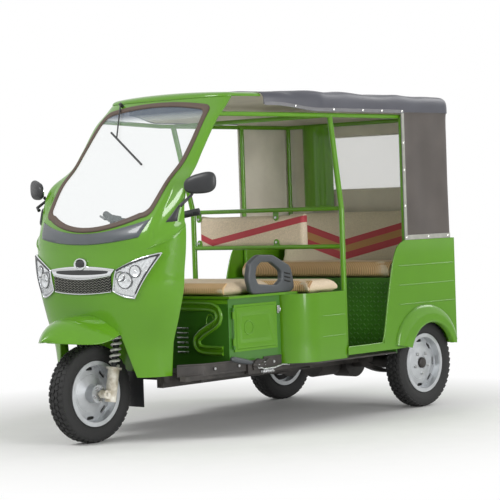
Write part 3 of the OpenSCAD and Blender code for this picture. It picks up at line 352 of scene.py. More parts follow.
# Near black as painted shade; it also paints the shade behind the wheels' disc slots and in the handles' vent
# slots.
SHADE_BLACK = Finish("grille_backing", "#121212", "black_plastic", roughness=0.7, drift=0.1, grain_mm=1.2,
                      grain=0.06)
# Chromed ABS: a clear mirror with hardly any grain.
CHROME = Finish("chromed_abs", "#dcdee0", "chrome_trim", roughness=0.09, metallic=1.0, drift=0.02, grain_mm=8,
                grain=0.01)
# Aluminised plastic: bright, with facets that break up what it mirrors.
REFLECTOR = Finish("aluminised_reflector", "#e4e6e8", "lamp_silver", roughness=0.16, metallic=1.0, drift=0.1,
                   patch_mm=14, grain_mm=7, grain=0.5)
# Silver lacquer inside the lamps: a soft metal sheen.
LAMP_BODY = Finish("lamp_housing_grey", "#a9aeb2", "lamp_silver", roughness=0.26, metallic=0.8, drift=0.12,
                   patch_mm=20, grain_mm=5, grain=0.1)
# Moulded red acrylic: glossy, with small prisms in it.
TAIL_RED = Finish("red_acrylic", "#a81c16", "lamp_red", roughness=0.16, drift=0.15, patch_mm=12, grain_mm=6,
                  grain=0.25, coat=0.6)
# Coated canvas: a woven grain under a half-dull skin. The roof's copy is painted light: bluer, for the light
# from above that falls on the roof.
VINYL = Finish("coated_canvas", "#56504c", "canopy_vinyl", roughness=0.5, drift=0.12, patch_mm=180,
               grain_mm=3.2, grain=0.25)
VINYL_LIT_ROOF = Finish("coated_canvas_roof", "#4f5058", "canopy_vinyl", roughness=0.44, drift=0.1, patch_mm=220,
                   grain_mm=3.2, grain=0.25)
# The canvas's bare back: pale and dull.
LINING = Finish("canvas_lining", "#dad5c8", "canopy_vinyl", roughness=0.75, drift=0.06, patch_mm=160,
                grain_mm=2.5, grain=0.2)
# Woven tapes: dull, and paler than the canvas that they bind.
HEM = Finish("webbing_tape", "#a5a59d", "canopy_vinyl", roughness=0.6, drift=0.1, patch_mm=40, grain=0.25)
ROOF_HEM = Finish("canvas_binding", "#77777a", "canopy_vinyl", roughness=0.55, drift=0.1, patch_mm=60,
                  grain_mm=2.5, grain=0.25)
# Nickel plate: a small clear highlight on each stud.
STUD = Finish("nickel_stud", "#e9e9e4", "chrome_trim", roughness=0.18, metallic=1.0, drift=0.02)
# Moulded tyre rubber: black and dull, with brown dust.
RUBBER = Finish("tyre_rubber", "#2c2a28", "tyre_rubber", roughness=0.78, drift=0.2, patch_mm=45, grain=0.25,
                soil="#3a342c")
# Sprayed wheel silver: half metallic under a thin lacquer.
RIM = Finish("silver_wheel_paint", "#c3c6c9", "rim_silver", roughness=0.34, metallic=0.45, drift=0.08,
             patch_mm=60, grain_mm=3, coat=0.25)
# Cream enamel: half gloss, with grime in patches.
FORK = Finish("cream_fork_enamel", "#e4e0d5", "fork_cream", roughness=0.4, drift=0.08, patch_mm=35, grain_mm=3,
              grain=0.08, soil="#b9af9a")
# Zinc plate: bright, with cloudy patches.
STEEL = Finish("zinc_plated_steel", "#c9cacb", "spring_steel", roughness=0.28, metallic=1.0, drift=0.1,
               patch_mm=20, grain=0.1)
# Painted spring wire: a clean highlight along each turn.
SPRING = Finish("painted_spring_steel", "#e9e8e2", "spring_steel", roughness=0.32, drift=0.08, patch_mm=20,
                grain=0.08, coat=0.3)
# Laminated glass: nearly clear, with a tinted strip along its top.
GLASS = Clear("laminated_glass", "#dbe6e6", "screen_glass", roughness=0.02, opacity=0.13, shade_from_mm=1612)
# Moulded polycarbonate: clear, with sharp reflections.
LENS = Clear("clear_polycarbonate", "#eef3f5", "lamp_clear", roughness=0.04, opacity=0.07)
# Soft PVC film: clear but a little milky.
FILM = Clear("clear_pvc_film", "#f1f1ec", "window_film", roughness=0.12, opacity=0.3)
# Silvered glass: a plain mirror.
MIRROR = Finish("mirror_glass", "#eef0f2", "lamp_silver", roughness=0.03, metallic=1.0, drift=0.01, grain=0.0)
# Embossed vinyl: mottled beige threads, dull, with red and tan stripes on the backrests.
SEAT = Upholstery("seat_vinyl", "#dfcaad", "beige_vinyl", roughness=0.55, grain_mm=2.5, grain=0.35)
RED_STRIPE, TAN_STRIPE = "#b8404a", "#b98a55"
REAR_REST = Upholstery("seat_vinyl_rear", "#dcd1ba", "beige_vinyl", roughness=0.6, grain_mm=2.5, grain=0.35,
                       bend=(-54, 948), rises=(0.224, 0.287),
                       bands=((-38, 0, RED_STRIPE), (-80, -38, TAN_STRIPE), (-123, -80, RED_STRIPE)))
MIDDLE_REST = Upholstery("seat_vinyl_middle", "#e2d0b8", "beige_vinyl", roughness=0.6, grain_mm=2.5, grain=0.35,
                         bend=(-416, 976), rises=(0.183, 0.386), bands=((-37, 0, RED_STRIPE),))


class Shape:
    """Points and faces of one piece, in millimetres."""

    def __init__(self) -> None:
        """Starts empty."""
        self.points: list[Array] = []
        self.faces: list[tuple[int, ...]] = []
        self.slots: list[int] = []
        self.count = 0

    def add(self, points: Array, faces: Sequence[Sequence[int]], slot: int = 0) -> None:
        """Adds points and faces.

        Args:
            points: array of points.
            faces: corner numbers within these points.
            slot: number of the finish.
        """
        points = np.asarray(points, float).reshape(-1, 3)
        self.points.append(points)
        self.faces += [tuple(int(i) + self.count for i in f) for f in faces]
        self.slots += [slot] * len(faces)
        self.count += len(points)

    def grid(self, points: Array, slot: int = 0, loop: bool = False) -> None:
        """Adds one open surface over a grid of points, closed round its columns where loop is set."""
        rows, cols = points.shape[:2]
        last = cols if loop else cols - 1
        faces = [(i * cols + j, i * cols + (j + 1) % cols, (i + 1) * cols + (j + 1) % cols, (i + 1) * cols + j)
                 for i in range(rows - 1) for j in range(last)]
        self.add(points.reshape(-1, 3), faces, slot)

    def shell(self, outer: Array, inner: Array, hole: Callable[[int, int], bool] | None = None,
              slots: tuple[int, int] = (0, 0)) -> None:
        """Adds a closed panel between two grids.

        Args:
            outer: grid of points that faces out.
            inner: matching grid behind it.
            hole: tells which cells stay open.
            slots: finishes of the outer and the inner face.
        """
        rows, cols = outer.shape[:2]
        n = rows * cols

        def solid(i: int, j: int) -> bool:
            """Tells whether a cell is there."""
            return 0 <= i < rows - 1 and 0 <= j < cols - 1 and not (hole and hole(i, j))

        front, back = [], []
        for i in range(rows - 1):
            for j in range(cols - 1):
                if not solid(i, j):
                    continue
                a, b, c, d = i * cols + j, i * cols + j + 1, (i + 1) * cols + j + 1, (i + 1) * cols + j
                front.append((a, b, c, d))
                back.append((a + n, d + n, c + n, b + n))
                for near, p, q in ((solid(i - 1, j), a, b), (solid(i, j + 1), b, c), (solid(i + 1, j), c, d),
                                   (solid(i, j - 1), d, a)):
                    if not near:
                        front.append((p, p + n, q + n, q))
        base = self.count
        self.add(np.concatenate([outer.reshape(-1, 3), inner.reshape(-1, 3)]), front, slots[0])
        self.faces += [tuple(i + base for i in f) for f in back]
        self.slots += [slots[1]] * len(back)

    def tube(self, path: Sequence[Sequence[float]], radius: float | Sequence[float], sides: int = 10,
             ring: bool = False, slot: int = 0) -> None:
        """Adds a round tube along a path.

        Args:
            path: points of its middle.
            radius: one radius, or one for each point.
            sides: corners round it.
            ring: joins its ends.
            slot: number of the finish.
        """
        p = np.asarray(path, float)
        n = len(p)
        radii = np.broadcast_to(np.asarray(radius, float), (n,))
        ahead = np.roll(p, -1, 0) - np.roll(p, 1, 0)
        if not ring:
            ahead[0], ahead[-1] = p[1] - p[0], p[-1] - p[-2]
        ahead /= np.linalg.norm(ahead, axis=1)[:, None]
        up = np.cross(ahead[0], [0.31, 0.52, 0.79])
        rows = []
        for t, c, r in zip(ahead, p, radii):
            up = up - t * (up @ t)
            up /= np.linalg.norm(up)
            side = np.cross(t, up)
            angles = ring_angles(sides)
            rows.append(c + r * (np.cos(angles)[:, None] * up + np.sin(angles)[:, None] * side))
        if ring:
            rows.append(rows[0])
        self.grid(np.array(rows), slot, loop=True)
        if not ring:
            base = self.count - n * sides
            self.faces += [tuple(base + i for i in reversed(range(sides))),
                           tuple(base + (n - 1) * sides + i for i in range(sides))]
            self.slots += [slot, slot]

    def turn(self, profile: Sequence[Pair], origin: Sequence[float], axis: Sequence[float],
             sides: int = 32, slot: int = 0, ring: bool = False) -> None:
        """Turns a profile round an axis.

        Args:
            profile: radius and place along the axis of each point.
            origin: where the axis starts.
            axis: its direction.
            sides: corners round it.
            slot: number of the finish.
            ring: joins the profile's ends.
        """
        z = Vector(axis).normalized()
        x = z.orthogonal().normalized()
        y = z.cross(x)
        angles = ring_angles(sides)
        around = np.cos(angles)[:, None] * np.array(x) + np.sin(angles)[:, None] * np.array(y)
        rows = [np.array(origin) + np.array(z) * h + max(r, 1e-4) * around for r, h in profile]
        if ring:
            rows.append(rows[0])
        self.grid(np.array(rows), slot, loop=True)

    def block(self, low: Sequence[float], high: Sequence[float], slot: int = 0) -> None:
        """Adds a box from its lowest to its highest corner."""
        (a, b, c), (d, e, f) = low, high
        points = [(x, y, z) for z in (c, f) for y in (b, e) for x in (a, d)]
        faces = [(0, 2, 3, 1), (4, 5, 7, 6), (0, 1, 5, 4), (2, 6, 7, 3), (0, 4, 6, 2), (1, 3, 7, 5)]
        self.add(points, faces, slot)

    def prism(self, near: Sequence[Sequence[float]], far: Sequence[Sequence[float]]) -> None:
        """Adds a closed prism between two outlines with as many points."""
        n, base = len(near), self.count
        self.grid(np.array([near, far]), loop=True)
        self.faces += [tuple(range(base, base + n)), tuple(reversed(range(base + n, base + 2 * n)))]
        self.slots += [0, 0]

    def build(self, name: str, *finishes: Finish, smooth: float = 38.0,
              bevel: float = 0.0) -> Object:
        """Makes the object.

        Args:
            name: its name.
            finishes: one for each slot number.
            smooth: largest angle that is shaded smooth, in degrees.
            bevel: width of rounded edges, or zero.

        Returns:
            The new object, in the scene.
        """
        mesh = bpy.data.meshes.new(name)
        mesh.from_pydata((np.concatenate(self.points) * MM).tolist(), [], self.faces)
        mesh.polygons.foreach_set("material_index", self.slots)
        work = bmesh.new()
        work.from_mesh(mesh)
        bmesh.ops.remove_doubles(work, verts=work.verts, dist=2e-6)
        bmesh.ops.dissolve_degenerate(work, edges=work.edges, dist=1e-7)
        bmesh.ops.recalc_face_normals(work, faces=work.faces)
        if bevel:
            sharp = [e for e in work.edges if len(e.link_faces) == 2 and e.calc_face_angle() > math.radians(30)]
            bmesh.ops.bevel(work, geom=sharp, offset=bevel * MM, segments=2, affect="EDGES", profile=0.5)
        work.to_mesh(mesh)
        work.free()
        for finish in finishes:
            mesh.materials.append(finish.material())
        mesh.shade_smooth()
        mesh.set_sharp_from_angle(angle=math.radians(smooth))
        made = bpy.data.objects.new(name, mesh)
        bpy.context.scene.collection.objects.link(made)
        return made

    def put(self, name: str, *finishes: Finish, body: str = "root", slot: str = "",
            replaces: Sequence[str] = (), smooth: float = 38.0, bevel: float = 0.0) -> Object:
        """Makes the object and puts it on its body.

        Args:
            name: its name.
            finishes: one for each slot number.
            body: CAD body that it rides on.
            slot: the record's material slot, or none for the first finish's own; not used.
            replaces: CAD nodes that it stands for.
            smooth: largest angle that is shaded smooth, in degrees.
            bevel: width of rounded edges, or zero.

        Returns:
            The piece.
        """
        made = self.build(name, *finishes, smooth=smooth, bevel=bevel)
        return place(made, body, replaces)


def place(piece: Object, body: str, replaces: Sequence[str] = ()) -> Object:
    """Puts a finished piece on its body and reports it.

    Args:
        piece: finished object.
        body: CAD body that it rides on.
        replaces: CAD nodes that it stands for.

    Returns:
        The piece.
    """
    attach(piece, body)
    if replaces:
        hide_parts(*replaces)
    log.info("%s on %s, %d faces", piece.name, body, len(piece.data.polygons))
    return piece


class Repeater:
    """Sets a small part at many places with a Geometry Nodes tree."""

    def __init__(self) -> None:
        """Builds the tree."""
        self.tree = bpy.data.node_groups.new("set_at_places", "GeometryNodeTree")
        face = self.tree.interface
        face.new_socket("Places", in_out="INPUT", socket_type="NodeSocketGeometry")
        self.inputs = {name: face.new_socket(name, in_out="INPUT", socket_type=kind).identifier
                       for name, kind in (("Part", "NodeSocketObject"), ("Size", "NodeSocketFloat"),
                                          ("Finish", "NodeSocketMaterial"))}
        face.new_socket("Result", in_out="OUTPUT", socket_type="NodeSocketGeometry")
        given = add_node(self.tree, "NodeGroupInput")
        part = add_node(self.tree, "GeometryNodeObjectInfo", {"Object": given.outputs["Part"]})
        turn = add_node(self.tree, "GeometryNodeInputNamedAttribute", {"Name": "turn"},
                        data_type="FLOAT_VECTOR")
        angle = add_node(self.tree, "FunctionNodeEulerToRotation", {"Euler": turn.outputs["Attribute"]})
        spread = add_node(self.tree, "GeometryNodeInstanceOnPoints", {
            "Points": given.outputs["Places"], "Instance": part.outputs["Geometry"],
            "Rotation": angle.outputs["Rotation"], "Scale": given.outputs["Size"]})
        real = add_node(self.tree, "GeometryNodeRealizeInstances", {"Geometry": spread.outputs["Instances"]})
        paint = add_node(self.tree, "GeometryNodeSetMaterial", {"Geometry": real.outputs["Geometry"],
                                                                "Material": given.outputs["Finish"]})
        add_node(self.tree, "NodeGroupOutput", {"Result": paint.outputs["Geometry"]})

    def spread(self, name: str, part: Shape, places: Sequence[tuple[Sequence[float], Matrix]], finish: Finish,
               smooth: float = 38.0, bevel: float = 0.0, size: float = 1.0) -> Object:
        """Makes one mesh of a part set at many places.

        Args:
            name: name of the new object.
            part: shape round its own origin.
            places: point in mm and rotation of each copy.
            finish: of all copies.
            smooth: largest angle that is shaded smooth.
            bevel: width of rounded edges on the part.
            size: scale of each copy.

        Returns:
            The new object.
        """
        single = part.build(name + "_part", finish, smooth=smooth, bevel=bevel)
        mesh = bpy.data.meshes.new(name + "_places")
        mesh.from_pydata([[c * MM for c in p] for p, _ in places], [], [])
        turns = mesh.attributes.new("turn", "FLOAT_VECTOR", "POINT")
        turns.data.foreach_set("vector", [a for _, m in places for a in m.to_euler()])
        seed = bpy.data.objects.new(name + "_places", mesh)
        bpy.context.scene.collection.objects.link(seed)
        nodes = seed.modifiers.new("places", "NODES")
        nodes.node_group = self.tree
        nodes[self.inputs["Part"]] = single
        nodes[self.inputs["Size"]] = size
        nodes[self.inputs["Finish"]] = finish.material()
        bpy.context.view_layer.update()
        made = bpy.data.meshes.new_from_object(seed.evaluated_get(bpy.context.evaluated_depsgraph_get()))
        made.name = name
        seed.modifiers.remove(nodes)
        bpy.data.objects.remove(seed)
        bpy.data.objects.remove(single)
        made.shade_smooth()
        made.set_sharp_from_angle(angle=math.radians(smooth))
        result = bpy.data.objects.new(name, made)
        bpy.context.scene.collection.objects.link(result)
        return result


def facing(normal: Sequence[float], up: Sequence[float] = (0, 0, 1)) -> Matrix:
    """Returns the rotation that turns +Z to a normal and +Y as near as it goes to up."""
    z = Vector(normal).normalized()
    x = Vector(up).cross(z)
    x = x.normalized() if x.length > 1e-6 else z.orthogonal().normalized()
    return Matrix((x, z.cross(x), z)).transposed()


def smoothstep(low: float, high: float, value: Array | float) -> Array | float:
    """Returns 0 below low, 1 above high and a smooth step between."""
    t = np.clip((np.asarray(value, float) - low) / (high - low), 0, 1)
    return t * t * (3 - 2 * t)


def rise(distance: Array, radius: float, power: float) -> Array:
    """Returns the height share of a rounded edge at a distance from it."""
    return (1 - (1 - np.clip(distance / radius, 0, 1)) ** power) ** (1 / power)


def waves(points: Array, size: float, seed: int) -> Array:
    """Returns slow, repeatable folds between -1 and 1.

    Args:
        points: places in mm.
        size: usual length of a fold in mm.
        seed: picks one pattern.

    Returns:
        One value for each place.
    """
    draw = np.random.default_rng(seed)
    total = np.zeros(points.shape[:-1])
    for _ in range(9):
        way = draw.normal(size=3)
        way *= FULL_TURN / (size * draw.uniform(0.6, 1.6)) / np.linalg.norm(way)
        total += np.sin(points @ way + draw.uniform(0, FULL_TURN))
    return total / 4.5


def ring_angles(count: int) -> Array:
    """Returns even angles round a full turn."""
    return np.linspace(0, FULL_TURN, count, endpoint=False)


def coords(*parts: Array | float) -> Array:
    """Returns points from their coordinates, of which a plain number holds for all."""
    return np.stack(np.broadcast_arrays(*parts), -1)


def sideways(line: Array) -> Array:
    """Returns unit vectors to the left of a flat line, one for each of its points."""
    ahead = np.gradient(line, axis=0)
    return coords(-ahead[:, 1], ahead[:, 0]) / np.linalg.norm(ahead, axis=1)[:, None]


def smooth_table(keys: Array, values: Array, at: Array) -> Array:
    """Returns the values of a table between its keys, without kinks.

    Args:
        keys: rising keys of the table.
        values: one for each key.
        at: keys that are asked for.

    Returns:
        One value for each key that is asked for.
    """
    n = len(keys)
    i = np.clip(np.searchsorted(keys, at, side="right") - 1, 0, n - 2)
    before, after = np.maximum(np.arange(n) - 1, 0), np.minimum(np.arange(n) + 1, n - 1)
    slope = (values[after] - values[before]) / (keys[after] - keys[before])
    d = keys[i + 1] - keys[i]
    s = np.clip((at - keys[i]) / d, 0, 1)
    return (values[i] * (1 + 2 * s) * (1 - s) ** 2 + slope[i] * d * s * (1 - s) ** 2
            + values[i + 1] * s * s * (3 - 2 * s) - slope[i + 1] * d * s * s * (1 - s))


@dataclass
class FrontSkin:
    """The front body's skin: a rounded plan whose width, nose and door edge change with height.

    Attributes:
        half: largest half width.
        square: power of the plan's superellipse.
        table: height over the floor, tuck of the sides, reach of the nose and place of the door edge.
    """

    half: float = 514.0
    square: float = 2.5
    table: tuple = (
        (-4, 141, -15, 210), (152, 126, 3, 210), (286, 82, 22, 210), (431, 40, 34, 210), (516, 32, 36, 210),
        (616, 18, 18, 210), (719, 7, -2, 205), (872, 0, -132, 195), (956, 18, -203, 235), (1044, 64, -278, 358),
        (1131, 73, -351, 426), (1277, 74, -475, 532), (1346, 82, -534, 612), (1372, 86, -556, 640),
        (1400, 90, -580, 670))

    def column(self, c: int, z: Array) -> Array:
        """Returns a column of the table at heights, smoothly."""
        t = np.array(self.table, float)
        return smooth_table(t[:, 0], t[:, c], np.asarray(z, float) - FLOOR_Z)

    def width(self, z: Array) -> Array:
        """Returns the half width at heights."""
        return self.half - self.column(1, z)

    def ends(self, z: Array) -> tuple[Array, Array]:
        """Returns where the door edge and the nose lie along Y."""
        return FRONT_Y + self.column(3, z), FRONT_Y - self.column(2, z)

    def y(self, x: Array, z: Array) -> Array:
        """Returns where the skin lies along Y."""
        k = np.minimum(np.abs(x) / self.width(z), 1)
        edge, nose = self.ends(z)
        return edge - (edge - nose) * np.maximum(1 - k ** self.square, 0) ** (1 / self.square)

    def at(self, x: Array, z: Array, out: Array | float = 0.0) -> Array:
        """Returns points at a height over the skin, along its normal."""
        x, z = np.broadcast_arrays(np.asarray(x, float), np.asarray(z, float))
        n = self.normal(x, z)
        return coords(x, self.y(x, z), z) + np.asarray(out, float)[..., None] * n

    def normal(self, x: Array, z: Array) -> Array:
        """Returns the outward normals."""
        lim = 0.985 * self.width(z)
        c = np.clip(x, -lim, lim)
        dx = (self.y(c + 1, z) - self.y(c - 1, z)) / 2
        dz = (self.y(c, z + 1) - self.y(c, z - 1)) / 2
        n = coords(dx, -np.ones_like(dx), dz)
        return n / np.linalg.norm(n, axis=-1)[..., None]

    def patch(self, x: Array, z: Array, top: Array | float, under: Array | float,
              side: Side = Side.LEFT) -> Shape:
        """Returns a closed patch that follows the skin.

        Args:
            x: grid of places across, on the left.
            z: grid of heights.
            top: how far its face stands out from the skin.
            under: how far its back stands out.
            side: the side that it is on.

        Returns:
            Its shape.
        """
        made = Shape()
        made.shell(self.at(x, z, top) * side.flip, self.at(x, z, under) * side.flip)
        return made


@dataclass
class Windscreen:
    """Outline of the screen: across by u from -1 to 1, and up by v from 0 to 1."""

    low: float = 1053.0
    high: float = 1713.0
    corner: float = 45.0
    bottom_rise: float = 65.0
    top_drop: float = 24.0
    widths: tuple = ((0, 372), (0.25, 392), (0.55, 398), (0.85, 388), (1, 374))

    def half(self, v: Array, inset: float) -> Array:
        """Returns the half width at shares of the height."""
        w = np.array(self.widths, float)
        d = np.minimum(v, 1 - v) * (self.high - self.low)
        r = self.corner
        cut = np.where(d >= r, 0, r - np.sqrt(np.maximum(r * r - (r - d) ** 2, 0)))
        return smooth_table(w[:, 0], w[:, 1], v) - inset - cut

    def at(self, u: Array, v: Array, inset: float) -> tuple[Array, Array]:
        """Returns x and z of places on the screen."""
        u, v = np.broadcast_arrays(np.asarray(u, float), np.asarray(v, float))
        low = self.low + self.bottom_rise * u * u + inset
        high = self.high - self.top_drop * u * u - inset
        return u * self.half(v, inset), low + (high - low) * v


@dataclass
class Headlamps:
    """The two headlamps: fluted reflectors, bright outlines, dark shade lines, turn signals and lenses."""

    skin: FrontSkin
    inner: tuple = ((214.0, 764.0), (237.0, 865.0))
    outer: tuple = ((326.0, 728.0), (450.0, 946.0))
    bow: float = 8.0
    size: Pair = (190.0, 150.0)
    corner: float = 22.0
    bowls: tuple = ((0.4, 0.45, 36), (0.62, 0.66, 26), (0.2, 0.62, 20))
    bowl_seat: float = 6.4
    flutes: int = 11
    ribs: int = 18
    shade_out: float = 11.5

    def spot(self, s: Array, t: Array) -> tuple[Array, Array]:
        """Returns x and z of places on the left headlamp, s outwards and t upwards."""
        s, t = np.asarray(s, float)[..., None], np.asarray(t, float)[..., None]
        inner, outer = (np.array(low) + (np.array(high) - np.array(low)) * t
                        for low, high in (self.inner, self.outer))
        p = inner + (outer - inner) * s
        return p[..., 0], p[..., 1] + (self.bow * np.sin(math.pi * s) * (2 * t - 1))[..., 0]

    def lens(self, side: Side) -> None:
        """Builds a clear lens with round edges."""
        s, t = np.meshgrid(np.linspace(0, 1, 33), np.linspace(0, 1, 25))
        swell = (rise(np.minimum(s, 1 - s) * self.size[0], self.corner, 2)
                 * rise(np.minimum(t, 1 - t) * self.size[1], self.corner, 2))
        made = self.skin.patch(*self.spot(s, t), 9.5 + 6 * swell, 8 + 6 * swell, side)
        made.put(f"lamp_lens_{side.tag}", LENS, replaces=side.stands_for("headlamp_lenses"))

    def reflector(self, side: Side) -> None:
        """Builds a fluted reflector with its bowls, each with a bulb cap and a dark ring."""
        first, last = 0.05, 0.93
        s, t = np.meshgrid(np.linspace(first, last, 67), np.linspace(0.06, 0.92, 9))
        wave = np.abs((s * 2 * self.flutes) % 2 - 1) * rise(np.minimum(s - first, last - s) * 100, 4, 2)
        made = self.skin.patch(*self.spot(s, t), 6.5 + 1.7 * wave, 6.2, side)
        for across, up, r in self.bowls:
            x, z = self.spot(np.array(across), np.array(up))
            seat, way = self.skin.at(x, z, self.bowl_seat) * side.flip, self.skin.normal(x, z) * side.flip
            bulb = [(0, 4.6), (4, 4.2), (6, 2.6), (6.4, 0.6)]
            bowl = [(r * k, 0.3 + 5.6 * k ** 2.2) for k in np.linspace(0.25, 1, 9)]
            made.turn(bulb + bowl + [(r + 2, 3), (r + 2.4, 0)], seat, way, 40)
            made.turn([(r + 2.2, 3.4), (r + 4.6, 5.4), (r + 6.2, 3.2), (r + 6.4, 0)], seat, way, 40, slot=1)
        made.put(f"lamp_reflectors_{side.tag}", REFLECTOR, BLACK_PLASTIC)

    def lines(self, side: Side) -> None:
        """Builds the bright outline, and the dark lines along the top and the outer edge."""
        s = np.concatenate([np.linspace(0, 1, 25), np.ones(19), np.linspace(1, 0, 25), np.zeros(13)])
        t = np.concatenate([np.zeros(25), np.linspace(0.04, 0.96, 19), np.ones(25),
                            np.linspace(0.95, 0.05, 13)])
        rim = Shape()
        rim.tube(self.skin.at(*self.spot(s, t), 6.0) * side.flip, 4.6, 10, ring=True)
        rim.put(f"lamp_outline_{side.tag}", CHROME, smooth=60)
        dark = Shape()
        for s, t, radius in ((np.linspace(0.02, 0.985, 40), np.full(40, 0.965), 4.4),
                             (np.full(30, 0.965), np.linspace(0.97, 0.1, 30), 3.4)):
            dark.tube(self.skin.at(*self.spot(s, t), self.shade_out) * side.flip, radius, 8)
        dark.put(f"lamp_shade_line_{side.tag}", BLACK_PLASTIC, smooth=60)

    def signal(self, side: Side) -> None:
        """Builds the ribbed turn signal in the lamp's upper outer corner."""
        last = 0.955
        s, t = np.meshgrid(np.linspace(0.78, last, 9), np.linspace(0.58, 0.95, 15))
        s = last - (last - s) * (t - 0.5) / 0.45
        made = self.skin.patch(*self.spot(s, t), 8.4 + 1.3 * np.cos(t * FULL_TURN * self.ribs), 6.6, side)
        made.put(f"turn_signal_{side.tag}", REFLECTOR)

    def build(self) -> None:
        """Builds both headlamps."""
        for side in Side:
            self.lens(side)
            self.reflector(side)
            self.lines(side)
            self.signal(side)


@dataclass
class Grille:
    """The grille's chevron net, its bright border and crescent, and a blank oval badge."""

    skin: FrontSkin
    half: float = 205.0
    points: int = 33
    bars: int = 6
    chevron: float = 4.4
    flare: float = 0.12
    crescent_lines: tuple = ((508, -20), (538, 16))
    badge_z: float = 896.0
    badge_stretch: float = 1.45

    def line(self, x: Array, base: float, bow: float) -> Array:
        """Returns a bowed line over the floor."""
        return FLOOR_Z + base + bow * (1 - (x / self.half) ** 2)

    def net(self) -> None:
        """Builds the zigzag bars and the bright border under and over them."""
        x = np.linspace(-self.half + 2, self.half - 2, self.points)
        zigzag = np.where(np.arange(self.points) % 2 == 0, self.chevron, -self.chevron)
        low, high = self.line(x, 428, -12), self.line(x, 506, -20)
        net = Shape()
        for t in np.linspace(0.06, 0.93, self.bars):
            net.tube(self.skin.at(x, low + (high - low) * t + zigzag, 5.2), 2.1, 6)
        net.put("grille_net", MESH_PLASTIC, smooth=70)
        border = Shape()
        border.tube(self.skin.at(x, self.line(x, 426, -12), 4.2), 3.4, 8)
        border.tube(self.skin.at(x * 1.02, self.line(x, 508, -20), 6.0), 3.0, 8)
        border.put("grille_border", CHROME, smooth=60)

    def spot(self, u: Array, t: Array) -> tuple[Array, Array]:
        """Returns x and z of places on the crescent, u across and t upwards."""
        low, high = (self.line(u * self.half, base, bow) for base, bow in self.crescent_lines)
        return u * self.half * (1 + self.flare * t), low + (high - low) * t

    def crescent(self) -> None:
        """Builds the bright crescent with a raised rim, and the dark field inside it."""
        u, t = np.meshgrid(np.linspace(-1, 1, 61), np.linspace(0, 1, 17))
        rim = np.minimum(t, 1 - t) * 50
        lift = 1.0 + 8 * rise(rim, 10, 2) - 6.5 * smoothstep(8, 20, rim) * (1 - u ** 8)
        trim = self.skin.patch(*self.spot(u, t), lift, 0.9)
        trim.put("grille_crescent", CHROME, replaces=["grille_trim"])
        u, t = np.meshgrid(np.linspace(-0.94, 0.94, 57), np.linspace(0.24, 0.76, 7))
        self.skin.patch(*self.spot(u, t), 4.4, 1.2).put("grille_crescent_field", BLACK_PLASTIC)

    def badge(self) -> None:
        """Builds a blank oval badge: a bright ring round a dark dome."""
        seat, way = self.skin.at(0.0, self.badge_z, 5.0), (0, -1, 0.08)
        badge = Shape()
        badge.turn([(31, -4), (31, 6), (29, 9), (25, 9), (23, 6), (23, 3)], seat, way, 56)
        badge.turn([(23, 3.4), (14, 6.5), (6, 7.6), (0, 7.8)], seat, way, 56, slot=1)
        badge.points = [p * [self.badge_stretch, 1, 1] for p in badge.points]
        badge.put("badge_blank", CHROME, BLACK_PLASTIC)

    def build(self) -> None:
        """Builds all of the grille."""
        self.net()
        self.crescent()
        self.badge()


